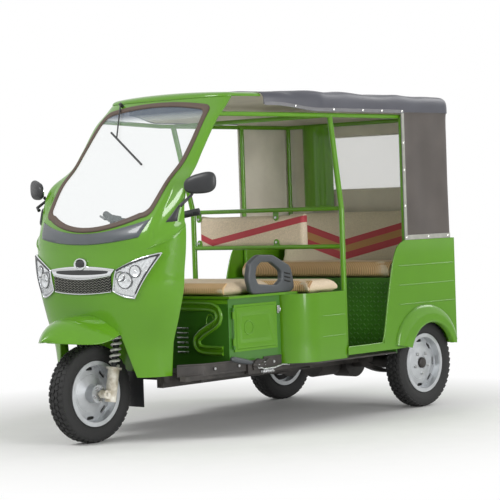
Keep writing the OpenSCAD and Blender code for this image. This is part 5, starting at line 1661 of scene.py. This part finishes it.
@dataclass
class Fork:
    """Coil springs and rubber bellows of the fork."""

    rake: float = math.radians(11)
    offset: float = 42.0
    half: float = 102.0
    leg_y: float = 4.0
    turns: float = 6.0
    spring: Pair = (145.8, 320.2)
    coil: float = 22.0
    wire: float = 6.6
    bellows: float = 15.6
    bellows_foot_and_length: Pair = (141.0, 184.0)

    def point(self, x: float, y: float, along: float) -> Array:
        """Returns a point given in the steering head's own frame."""
        c, s = math.cos(self.rake), math.sin(self.rake)
        origin = np.array([0, FRONT_Y + self.offset * c, TYRE_R - self.offset * s])
        return origin + np.array([x, y * c + along * s, along * c - y * s])

    def build(self) -> None:
        """Builds the springs and the dark bellows inside them."""
        angles, heights = np.linspace(0, FULL_TURN * self.turns, 200), np.linspace(*self.spring, 200)
        axis = self.point(0, 0, 1) - self.point(0, 0, 0)
        foot, length = self.bellows_foot_and_length
        profile = [(self.bellows + 0.4 * math.cos(FULL_TURN * k / 4), foot + length * k / 60)
                   for k in range(61)]
        coils, bellows = Shape(), Shape()
        for side in Side:
            x = side.value * self.half
            coils.tube([self.point(x + self.coil * math.cos(a), self.leg_y + self.coil * math.sin(a), h)
                        for a, h in zip(angles, heights)], self.wire, 10)
            bellows.turn(profile, self.point(x, self.leg_y, 0), axis, 28)
        coils.put("fork_coils", SPRING, body="steering", replaces=["fork_springs"], smooth=60)
        bellows.put("fork_bellows", BLACK_PLASTIC, body="steering", smooth=60)


@dataclass
class SeatBoxes:
    """Pressings, louvres, hasp, tread plate and loop handles on the seat boxes."""

    repeater: Repeater
    face_y: float = -480.0
    door_x: float = 486.5
    door_y: Pair = (-444.0, -114.0)
    door_z: Pair = (422.0, 662.0)
    louvre_x_z_pitch: tuple[float, float, float] = (163.0, 418.0, 24.6)
    lug_rows: tuple[int, int] = (48, 15)
    lug_pitch: Pair = (25.0, 25.5)
    lug_start: tuple[float, float, float] = (-588.0, 745.0, 352.0)
    handle_x: float = 480.0
    handle_half: float = 18.0
    handle_base: Pair = (FRONT_Y, 706.6)
    handle_middle: Pair = (825.0, 100.0)

    def pressings(self) -> None:
        """Builds the bent double bead and the oval ring, the louvres as bright fins that paint their
        highlights, and the flange of the driver's box.
        """
        path = np.array([(150, 655), (360, 655), (404, 638), (418, 606), (404, 572), (300, 520), (262, 492),
                         (256, 462), (276, 438), (312, 430), (440, 430)], float)
        fine = np.linspace(0, len(path) - 1, 120)
        line = np.stack([np.interp(fine, range(len(path)), path[:, c]) for c in range(2)], -1)
        ease = 9
        for c in range(2):
            line[ease // 2:-(ease // 2), c] = np.convolve(line[:, c], np.ones(ease) / ease, "valid")
        section = ((-26, 0.2), (-22, 8), (-16, 11), (-10, 8), (-7, 2), (7, 2), (10, 8), (16, 11),
                   (22, 8), (26, 0.2))
        rows = []
        for w, h in section:
            p = line + sideways(line) * w
            rows.append(coords(p[:, 0], self.face_y - h, p[:, 1]))
        outer = np.array(rows)
        inner = outer.copy()
        inner[..., 1] = self.face_y - 0.1
        bead = Shape()
        bead.shell(outer, inner)
        g = ring_angles(56)
        ring = coords(354 + 26 * np.cos(g), self.face_y - 0.5, 578 + 36 * np.sin(g))
        bead.tube(ring, 4.5, 8, ring=True)
        # The bead, ring and flange below keep the unshaded green, so they stand lighter than the box face
        # around them, which carries painted shade.
        bead.put("driver_box_pressings", GREEN, smooth=50)
        # Painted highlight: bright zinc-plated fins stand for the light lines on louvres pressed in the green
        # box.
        highlight_fin = Shape()
        highlight_fin.turn([(4.6, -40), (5, -38), (5, 38), (4.6, 40)], ORIGIN, ACROSS, 12)
        x, low, pitch = self.louvre_x_z_pitch
        places = [((x, self.face_y - 1.5, low + pitch * i), Matrix.Identity(3)) for i in range(6)]
        place(self.repeater.spread("driver_box_louvres", highlight_fin, places, STEEL), "root")
        flange = Shape()
        flange.block((-430, self.face_y - 2.0, 668), (478, self.face_y - 0.1, 690))
        flange.put("driver_box_flange", GREEN, bevel=0.8)

    def door(self) -> None:
        """Builds the door's pressed frame and ring, and the hasp."""
        x, (y0, y1), (z0, z1) = self.door_x, self.door_y, self.door_z
        rows = []
        for inset, height in ((12, 0.0), (16, 4.0), (24, 4.5), (60, -1.9)):
            front, back, low, high = y0 + inset, y1 - inset, z0 + inset, z1 - inset
            corners = ((front, low), (back, low), (back, high), (front, high))
            rows.append([(x + height, y, z) for y, z in corners])
        pressing = Shape()
        pressing.grid(np.array(rows), loop=True)
        pressing.turn([(30, -1.9), (31, 0.6), (34, 1.2), (37, 0.6), (38, -1.9)], (x, -331, 540), ACROSS, 48)
        pressing.put("battery_door_pressing", GREEN, body="battery_door", smooth=30)
        hasp = Shape()
        hasp.block((x - 4, -108, 600), (x + 1, -86, 640))
        hasp.tube([(x + 1, -97, 606), (x + 10, -97, 612), (x + 10, -97, 628), (x + 1, -97, 634)], 3, 8)
        hasp.put("battery_door_hasp", STEEL, bevel=0.8)

    def tread_plate(self) -> None:
        """Sets the raised diamonds on the plate under the rear seat, and the lines on the middle box."""
        lug = Shape()
        lug.tube([(-11, 0, 0), (-6, 0, 0.5), (0, 0, 0.8), (6, 0, 0.5), (11, 0, 0)], [0.6, 2.4, 3, 2.4, 0.6], 8)
        (x, y, z), (across, up) = self.lug_start, self.lug_pitch
        places = []
        for i in range(self.lug_rows[0]):
            for j in range(self.lug_rows[1]):
                turn = facing((0, -1, 0)) @ Matrix.Rotation(math.radians(45 if (i + j) % 2 else -45), 3, "Z")
                places.append(((x + across * i, y, z + up * j), turn))
        # The lugs take the darker green with painted shade, like the plate under them.
        place(self.repeater.spread("tread_plate_lugs", lug, places, SHADED_GREEN), "root")
        lines = Shape()
        for z in (462.0, 570.0):
            for side in Side:
                lines.tube([(side.value * 600, 120, z), (side.value * 600, 305, z)], 1.6, 8)
        lines.put("middle_box_lines", GREEN)

    def radial(self, loop: Array) -> Array:
        """Eases an outline's corners.

        Args:
            loop: corners of the outline round the handle's middle.

        Returns:
            Points at even angles from that middle, each a mean of five.
        """
        middle, close = np.array(self.handle_middle), 1e-9
        points = []
        for g in ring_angles(120):
            way = np.array([math.cos(g), math.sin(g)])
            reach = []
            for p, q in zip(loop - middle, np.roll(loop, -1, 0) - middle):
                turn = way[0] * (q - p)[1] - way[1] * (q - p)[0]
                if abs(turn) < 1e-6:
                    continue
                k = (p[0] * way[1] - p[1] * way[0]) / turn
                t = (p[0] * q[1] - p[1] * q[0]) / turn
                if t > 0 and -close <= k <= 1 + close:
                    reach.append(t)
            points.append(middle + way * max(reach))
        return sum(np.roll(points, shift, 0) for shift in range(-2, 3)) / 5

    def armrests(self) -> None:
        """Builds the loop handles beside the driver, round at their edges, each with three dark bars that paint
        the shade in its vent slots.
        """
        outline = np.array([(690, 0), (662, 80), (680, 165), (750, 203), (860, 198), (1002, 135),
                            (1022, 60), (1030, 0)])
        opening = np.array([(742, 52), (722, 92), (734, 140), (768, 164), (850, 160), (925, 112),
                            (925, 66), (880, 40)])
        base = np.array(self.handle_base)
        outer, inner = self.radial(outline) + base, self.radial(opening) + base
        outer[:, 1] = np.maximum(outer[:, 1], base[1] + 0.2)
        for side in Side:
            rows = []
            for g in ring_angles(20):
                c, s = (math.copysign(abs(wave) ** 0.4, wave) for wave in (math.cos(g), math.sin(g)))
                p = outer + (inner - outer) * (0.5 - 0.5 * c)
                x = side.value * (self.handle_x + self.handle_half * s)
                rows.append(coords(x, p[:, 0], p[:, 1]))
            handle = Shape()
            handle.grid(np.array(rows + rows[:1]), loop=True)
            handle.put(f"armrest_loop_{side.tag}", GREY_PLASTIC, replaces=side.stands_for("armrest_handles"),
                       smooth=60)
            # Painted shade: dark bars proud of the face stand for the shade in vent slots.
            x = side.value * (self.handle_x + self.handle_half - 1.4)
            vent_shades = Shape()
            for i in range(3):
                y, z = base + (945, 62 + 20 * i)
                vent_shades.tube([(x, y, z), (x, y + 44, z - 9)], 4.6, 10)
            vent_shades.put(f"armrest_vents_{side.tag}", SHADE_BLACK, smooth=60)

    def build(self) -> None:
        """Builds all the details of the boxes."""
        self.pressings()
        self.door()
        self.tread_plate()
        self.armrests()


@dataclass
class Fittings:
    """Backrest tabs, bolts, floor skirts, parking brake, grip ribs and tail lamps."""

    repeater: Repeater
    tab_y: float = 386.9
    tab_foot_and_end: Pair = (20.0, 18.0)
    skirt_profile: tuple = ((319, 0), (320, 4), (327, 4), (329, 2.6), (373, 2.6), (375, 4), (382, 4), (383, 0))
    brake_pivot: Pair = (-286.0, 336.0)
    sector_x: Pair = (497.0, 503.0)
    sector_radius: float = 40.0
    sector_points: int = 89
    grip: tuple = ((200.0, -600.0, 1112.0), (342.0, -518.0, 1142.0))
    grip_radius: float = 17.2
    lamp_x: float = 555.0
    lamp_z: float = 709.0
    lamp_half: Pair = (33.0, 73.0)
    lamp_y: float = 1308.5

    def brackets(self) -> None:
        """Builds the backrest tabs on the partition bars and sets bolts."""
        (foot, end), thick, reach, bolt_up = self.tab_foot_and_end, 4.0, 24, 14
        tabs = Shape()
        places = []
        for x in (-512, 71):
            for z, way in ((1106, -1), (941, 1)):
                outline = [(x - foot, z - way * reach)]
                outline += [(x - end * math.cos(a), z + way * (bolt_up + end * math.sin(a)))
                            for a in np.linspace(0, math.pi, 15)]
                outline.append((x + foot, z - way * reach))
                tabs.prism(*([(p, self.tab_y - depth, q) for p, q in outline] for depth in (thick, 0)))
                places.append(((x, self.tab_y - thick, z + way * bolt_up), facing((0, -1, 0))))
        tabs.put("backrest_tabs", GREEN)
        places += [((487.2, y, 352), facing(ACROSS)) for y in (-600, -420, -150)]
        bolt = Shape()
        bolt.turn([(8, 0), (8, 4.4), (6.4, 5.6), (0, 5.8)], ORIGIN, UP, 6)
        place(self.repeater.spread("frame_bolts", bolt, places, STEEL, smooth=30), "root")

    def skirts(self) -> None:
        """Builds the dark plates along the edges of the driver's floor, cut out at the parking brake."""
        front = ((392, -775), (470, -664), (483, -560))
        runs = {Side.LEFT: ((*front, (483, -364)), ((483, -226), (483, -86))),
                Side.RIGHT: ((*front, (483, -86)),)}
        for side, lines in runs.items():
            plates = Shape()
            for line in lines:
                n, corners = len(line), np.array(line, float)
                steps = np.linspace(0, n - 1, 8 * n)
                fine = np.stack([np.interp(steps, range(n), corners[:, i]) for i in range(2)], -1)
                rows, back = [], []
                for z, thick in self.skirt_profile:
                    height = np.full((len(fine), 1), z)
                    rows.append(np.concatenate([fine - sideways(fine) * thick, height], 1) * side.flip)
                    back.append(np.concatenate([fine - [1.5, 0], height], 1) * side.flip)
                plates.shell(np.array(rows), np.array(back))
            plates.put(f"floor_skirt_{side.tag}", CHASSIS, smooth=30)

    def brake(self) -> None:
        """Builds the parking brake's grip, toothed sector, linkage and spring."""
        grip = Shape()
        grip.tube([(488, -480, 391), (488, -466, 389), (488, -440, 383), (488, -400, 375), (488, -340, 362),
                   (488, -318, 358)], [6, 13, 15, 14, 13, 9], 16)
        grip.put("parking_brake_grip", GREY_PLASTIC, smooth=60)
        n = self.sector_points
        a = np.linspace(math.radians(-20), math.radians(200), n)
        r = self.sector_radius + 3.5 * np.where(np.arange(n) % 4 < 2, 1, -1) * (a > 1.2)
        y, z = self.brake_pivot[0] + r * np.cos(a), self.brake_pivot[1] + r * np.sin(a)
        sector = Shape()
        sector.prism(*(coords(x, y, z) for x in self.sector_x))
        sector.tube([(500, -330, 350), (502, -286, 338), (502, -236, 352), (500, -200, 372)], [9, 11, 8, 6], 12)
        sector.put("parking_brake_sector", CHASSIS, smooth=40)
        links = Shape()
        rod = [(506, -300, 338), (508, -250, 322), (508, -170, 322), (504, -100, 334), (500, -40, 328)]
        links.tube(rod, 4.5, 10)
        angle = np.linspace(0, FULL_TURN * 11, 170)
        links.tube(coords(508 + 8 * np.cos(angle), -268 + angle * 1.3, 310 + 8 * np.sin(angle)), 1.8, 6)
        links.turn([(13, -3), (13, 3), (6, 5), (0, 5)], (505, -286, 338), ACROSS, 6)
        links.turn([(10, -3), (10, 4), (0, 5)], (503, -240, 352), ACROSS, 6)
        links.put("parking_brake_linkage", STEEL, smooth=60)

    def controls(self) -> None:
        """Builds ribs on the handlebar grips."""
        neck, end = np.array(self.grip)
        way = Vector(end - neck).normalized()
        a, r = ring_angles(24), self.grip_radius
        ring = Shape()
        ring.tube(coords(r * np.cos(a), r * np.sin(a), 0), 1.3, 6, ring=True)
        places = []
        for side in Side:
            aim = facing((side.value * way.x, way.y, way.z))
            places += [(tuple((neck + (end - neck) * k) * side.flip), aim) for k in np.linspace(0.25, 0.97, 22)]
        place(self.repeater.spread("grip_ribs", ring, places, BLACK_PLASTIC), "steering")

    def tail(self) -> None:
        """Builds the tail lamps' ribbed lenses and bezels."""
        half, tall = self.lamp_half
        a, b = np.meshgrid(np.linspace(-half, half, 23), np.linspace(-tall, tall, 49))
        swell = rise(half - np.abs(a), 9, 2) * rise(tall - np.abs(b), 9, 2)
        y = self.lamp_y + 0.1 + (7.4 + 0.5 * np.cos(b * 0.9)) * swell
        corners = [(p * (half + 2), q * (tall + 2)) for p, q in ((-1, -1), (1, -1), (1, 1), (-1, 1))]
        for side in Side:
            x = side.value * self.lamp_x
            lens = Shape()
            lens.shell(coords(x + a, y, self.lamp_z + b), coords(x + a, self.lamp_y, self.lamp_z + b))
            lens.put(f"tail_lens_{side.tag}", TAIL_RED, replaces=side.stands_for("rear_lamps"))
            bezel = Shape()
            bezel.tube([(x + p, self.lamp_y + 2, self.lamp_z + q) for p, q in corners], 2.6, 8, ring=True)
            bezel.put(f"tail_bezel_{side.tag}", CHROME, smooth=60)

    def build(self) -> None:
        """Builds all the fittings."""
        self.brackets()
        self.skirts()
        self.brake()
        self.controls()
        self.tail()


@dataclass
class RearBody:
    """Round fender flares over the rear wheels, with rolled edges and pressed lines on the side panels."""

    edge_x: float = 606.5
    lines: tuple = ((590.5, 782), (696.5, 778), (803.5, 782))
    line_back: float = 1294.0
    flare_start_and_sweep: Pair = (8.0, 164.0)
    wheel_start_and_sweep: Pair = (22.0, 136.0)
    proud: float = 27.0

    def trim(self) -> None:
        """Builds the rolled edge along each side panel's front, and its pressed lines."""
        path = np.array([(322, 390), (600, 390), (631, 392), (691, 676), (734, 828), (768, 900),
                         (800, 924), (850, 942)], float)
        for _ in range(3):
            near, far = 0.75 * path[:-1] + 0.25 * path[1:], 0.25 * path[:-1] + 0.75 * path[1:]
            path = np.concatenate([path[:1], np.stack([near, far], 1).reshape(-1, 2), path[-1:]])
        edges = Shape()
        for side in Side:
            edges.tube(coords(side.value * self.edge_x, *path.T), 5.2, 10)
            low, high = side.value * (HALF_W - 0.6), side.value * (HALF_W - 0.2)
            for z, y in self.lines:
                back = self.line_back
                edges.tube([(low, y, z), (high, y + 6, z), (high, back - 6, z), (low, back, z)], 2.6, 8)
        edges.put("side_panel_edges", GREEN, smooth=60)

    def flares(self) -> None:
        """Builds the fender flares."""
        t, s = np.meshgrid(np.linspace(0, 1, 65), np.linspace(1, 0, 25))
        a, b = (np.radians(first + sweep * t)
                for first, sweep in (self.flare_start_and_sweep, self.wheel_start_and_sweep))
        outer_y, outer_z = REAR_Y - 47 - 283 * np.cos(a), 338 + 241 * np.sin(a)
        inner_y, inner_z = REAR_Y - 7 - 206 * np.cos(b), 270 + 206 * np.sin(b)
        y, z = outer_y + (inner_y - outer_y) * s, outer_z + (inner_z - outer_z) * s
        out = 1 + self.proud * rise(s * 100, 55, 2) * rise((1.03 - s) * 100, 14, 2)
        for side in Side:
            flare = Shape()
            flare.shell(coords(side.value * (HALF_W + out), y, z), coords(side.value * (HALF_W + 0.3), y, z))
            flare.put(f"fender_flare_{side.tag}", GREEN, replaces=side.stands_for("rear_fenders"), smooth=50)

    def build(self) -> None:
        """Builds the panels' trim and the flares."""
        self.trim()
        self.flares()


NODE_FINISHES: dict[Finish, tuple[str, ...]] = {
    GREEN: ("leg_shield", "body_frame", "rear_side_panels", "rear_panel", "middle_seat_box",
            "driver_seat_plate", "battery_door"),
    # The seat boxes take the darker green with painted shade.
    SHADED_GREEN: ("driver_seat_box", "rear_seat_box"),
    CHASSIS: ("chassis_rails", "cross_members", "side_beams", "head_frame", "floor_pan", "brake_controls",
              "rear_axle", "traction_motor", "leaf_springs", "steering_stem"),
    BLACK_PLASTIC: ("dashboard", "mudflap", "wiper", "battery_pack", "handlebar"),
    # The grille's backing is near black: painted shade of the hollow behind the net.
    SHADE_BLACK: ("grille_mesh",),
    LAMP_BODY: ("headlamp_housings",),
    FORK: ("fork_legs",),
    RIM: ("front_rim", "rear_rim_left", "rear_rim_right"),
}


def finish_nodes() -> None:
    """Gives each CAD node that stays its finish."""
    for finish, names in NODE_FINISHES.items():
        for name in names:
            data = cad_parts[name].data
            data.materials.clear()
            data.materials.append(finish.material())


@dataclass
class Studio:
    """White floor, soft lamps and the photograph's camera."""

    azimuth: float = 41.7
    elevation: float = 1.3
    roll: float = 1.92
    focal_px: float = 1899.87
    frame_px: float = 500.0
    distance: float = 10271.8
    shift: float = 160.18
    height: float = 923.03
    lamps: tuple = (("key", (-1.2, -5.2, 5.2), 2.4, 210), ("fill", (6.0, -1.0, 1.8), 3.0, 165),
                    ("back", (1.5, 5.0, 4.2), 3.0, 90))
    world_level: float = 0.38
    floor_half: float = 30000.0
    floor_fade: Pair = (1.2, 2.6)

    def camera(self) -> None:
        """Sets the camera as the photograph's fit gives it."""
        a, e, r = (math.radians(v) for v in (self.azimuth, self.elevation, self.roll))
        back = Vector((math.sin(a) * math.cos(e), -math.cos(a) * math.cos(e), math.sin(e)))
        level = Vector((math.cos(a), math.sin(a), 0))
        up = back.cross(level)
        right, up = level * math.cos(r) - up * math.sin(r), level * math.sin(r) + up * math.cos(r)
        target = level * self.shift + Vector((0, 0, self.height))
        data = bpy.data.cameras.new("camera")
        data.sensor_width = 36.0
        data.lens = self.focal_px / self.frame_px * data.sensor_width
        data.clip_end = 100.0
        made = bpy.data.objects.new("camera", data)
        turn = Matrix((right, up, back)).transposed().to_4x4()
        made.matrix_world = Matrix.Translation((target + back * self.distance) * MM) @ turn
        bpy.context.scene.collection.objects.link(made)
        bpy.context.scene.camera = made

    def lights(self) -> None:
        """Adds three soft lamps and a white world."""
        for name, spot, size, power in self.lamps:
            data = bpy.data.lights.new(name, "AREA")
            data.shape, data.size, data.energy = "DISK", size, power
            made = bpy.data.objects.new(name, data)
            made.location = spot
            made.rotation_euler = (Vector((0, 0, 0.8)) - Vector(spot)).to_track_quat("-Z", "Y").to_euler()
            bpy.context.scene.collection.objects.link(made)
        world = bpy.data.worlds.new("white_studio")
        world.use_nodes = True
        tree = world.node_tree
        seen = self.seen(tree, "Is Camera Ray", "Is Glossy Ray", "Is Transmission Ray")
        level = add_node(tree, RANGE, {"Value": seen, "To Min": self.world_level, "To Max": 1.0})
        sky = tree.nodes["Background"]
        sky.inputs["Color"].default_value = (1, 1, 1, 1)
        tree.links.new(level.outputs["Result"], sky.inputs["Strength"])
        bpy.context.scene.world = world

    @staticmethod
    def seen(tree: Tree, *rays: str) -> Socket:
        """Tells which light rays see the plain white.

        Args:
            tree: tree of the world or the floor.
            rays: names of Light Path's outputs.

        Returns:
            Socket that is one for these rays.
        """
        path = add_node(tree, LIGHT_PATH)
        found = path.outputs[rays[0]]
        for ray in rays[1:]:
            found = add_node(tree, MATH, {0: found, 1: path.outputs[ray]}, operation="MAXIMUM").outputs[0]
        return found

    def floor(self) -> None:
        """Adds a pale floor that turns to plain white away from the wheels."""
        line = self.floor_half * np.linspace(-1, 1, 41) ** 3
        x, y = np.meshgrid(line, line)
        made = Shape()
        made.grid(coords(x, y, -0.5))
        finish = Finish("studio_floor", "#f2f2f0", roughness=0.9, drift=0.01, grain=0.0)
        floor = made.build("studio_floor", finish)
        tree = finish.material().node_tree
        shader, out = tree.nodes["Principled BSDF"], tree.nodes["Material Output"]
        where = add_node(tree, COORDINATES).outputs["Object"]
        away = add_node(tree, "ShaderNodeVectorMath", {0: where}, operation="LENGTH")
        fade = add_node(tree, RANGE, {"Value": away.outputs["Value"], "From Min": self.floor_fade[0],
                                      "From Max": self.floor_fade[1]})
        seen = self.seen(tree, "Is Camera Ray", "Is Transmission Ray")
        share = add_node(tree, MATH, {0: fade.outputs["Result"], 1: seen}, operation="MULTIPLY")
        white = add_node(tree, "ShaderNodeEmission", {"Color": (1, 1, 1, 1), "Strength": 1.0})
        mixed = add_node(tree, "ShaderNodeMixShader", {0: share.outputs[0], 1: shader.outputs[0],
                                                       2: white.outputs[0]})
        tree.links.new(mixed.outputs[0], out.inputs["Surface"])

    def build(self) -> None:
        """Builds the studio."""
        bpy.context.scene.view_settings.view_transform = "Standard"
        self.camera()
        self.lights()
        self.floor()


def main() -> None:
    """Builds every sub-assembly."""
    logging.basicConfig(level=logging.INFO, format="%(message)s")
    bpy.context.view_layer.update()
    Studio().build()
    finish_nodes()
    repeater = Repeater()
    FrontBody(FrontSkin(), Windscreen()).build()
    Canopy(repeater).build()
    for seat in ("driver", "middle", "rear"):
        Pad(f"{seat}_pad", f"{seat}_cushion", SEAT).build()
    Pad("middle_back_pad", "middle_backrest", MIDDLE_REST, ribs=False, shrink=6, cap=9).build()
    Pad("rear_back_pad", "rear_backrest", REAR_REST, ribs=False, shrink=8, cap=12).build()
    Wheel(repeater, "front", "front_wheel", "front_tyre", (0, FRONT_Y, TYRE_R)).build()
    for side in Side:
        Wheel(repeater, f"rear_{side.tag}", f"rear_wheel_{side.tag}", f"rear_tyre_{side.tag}",
              (side.value * TRACK / 2, REAR_Y, TYRE_R), side.value, nut_face=19.5, nut_circle=60.0, capped=True,
              disc_face=24.0).build()
    Fork().build()
    SeatBoxes(repeater).build()
    Fittings(repeater).build()
    RearBody().build()


if __name__ == "__main__":
    main()
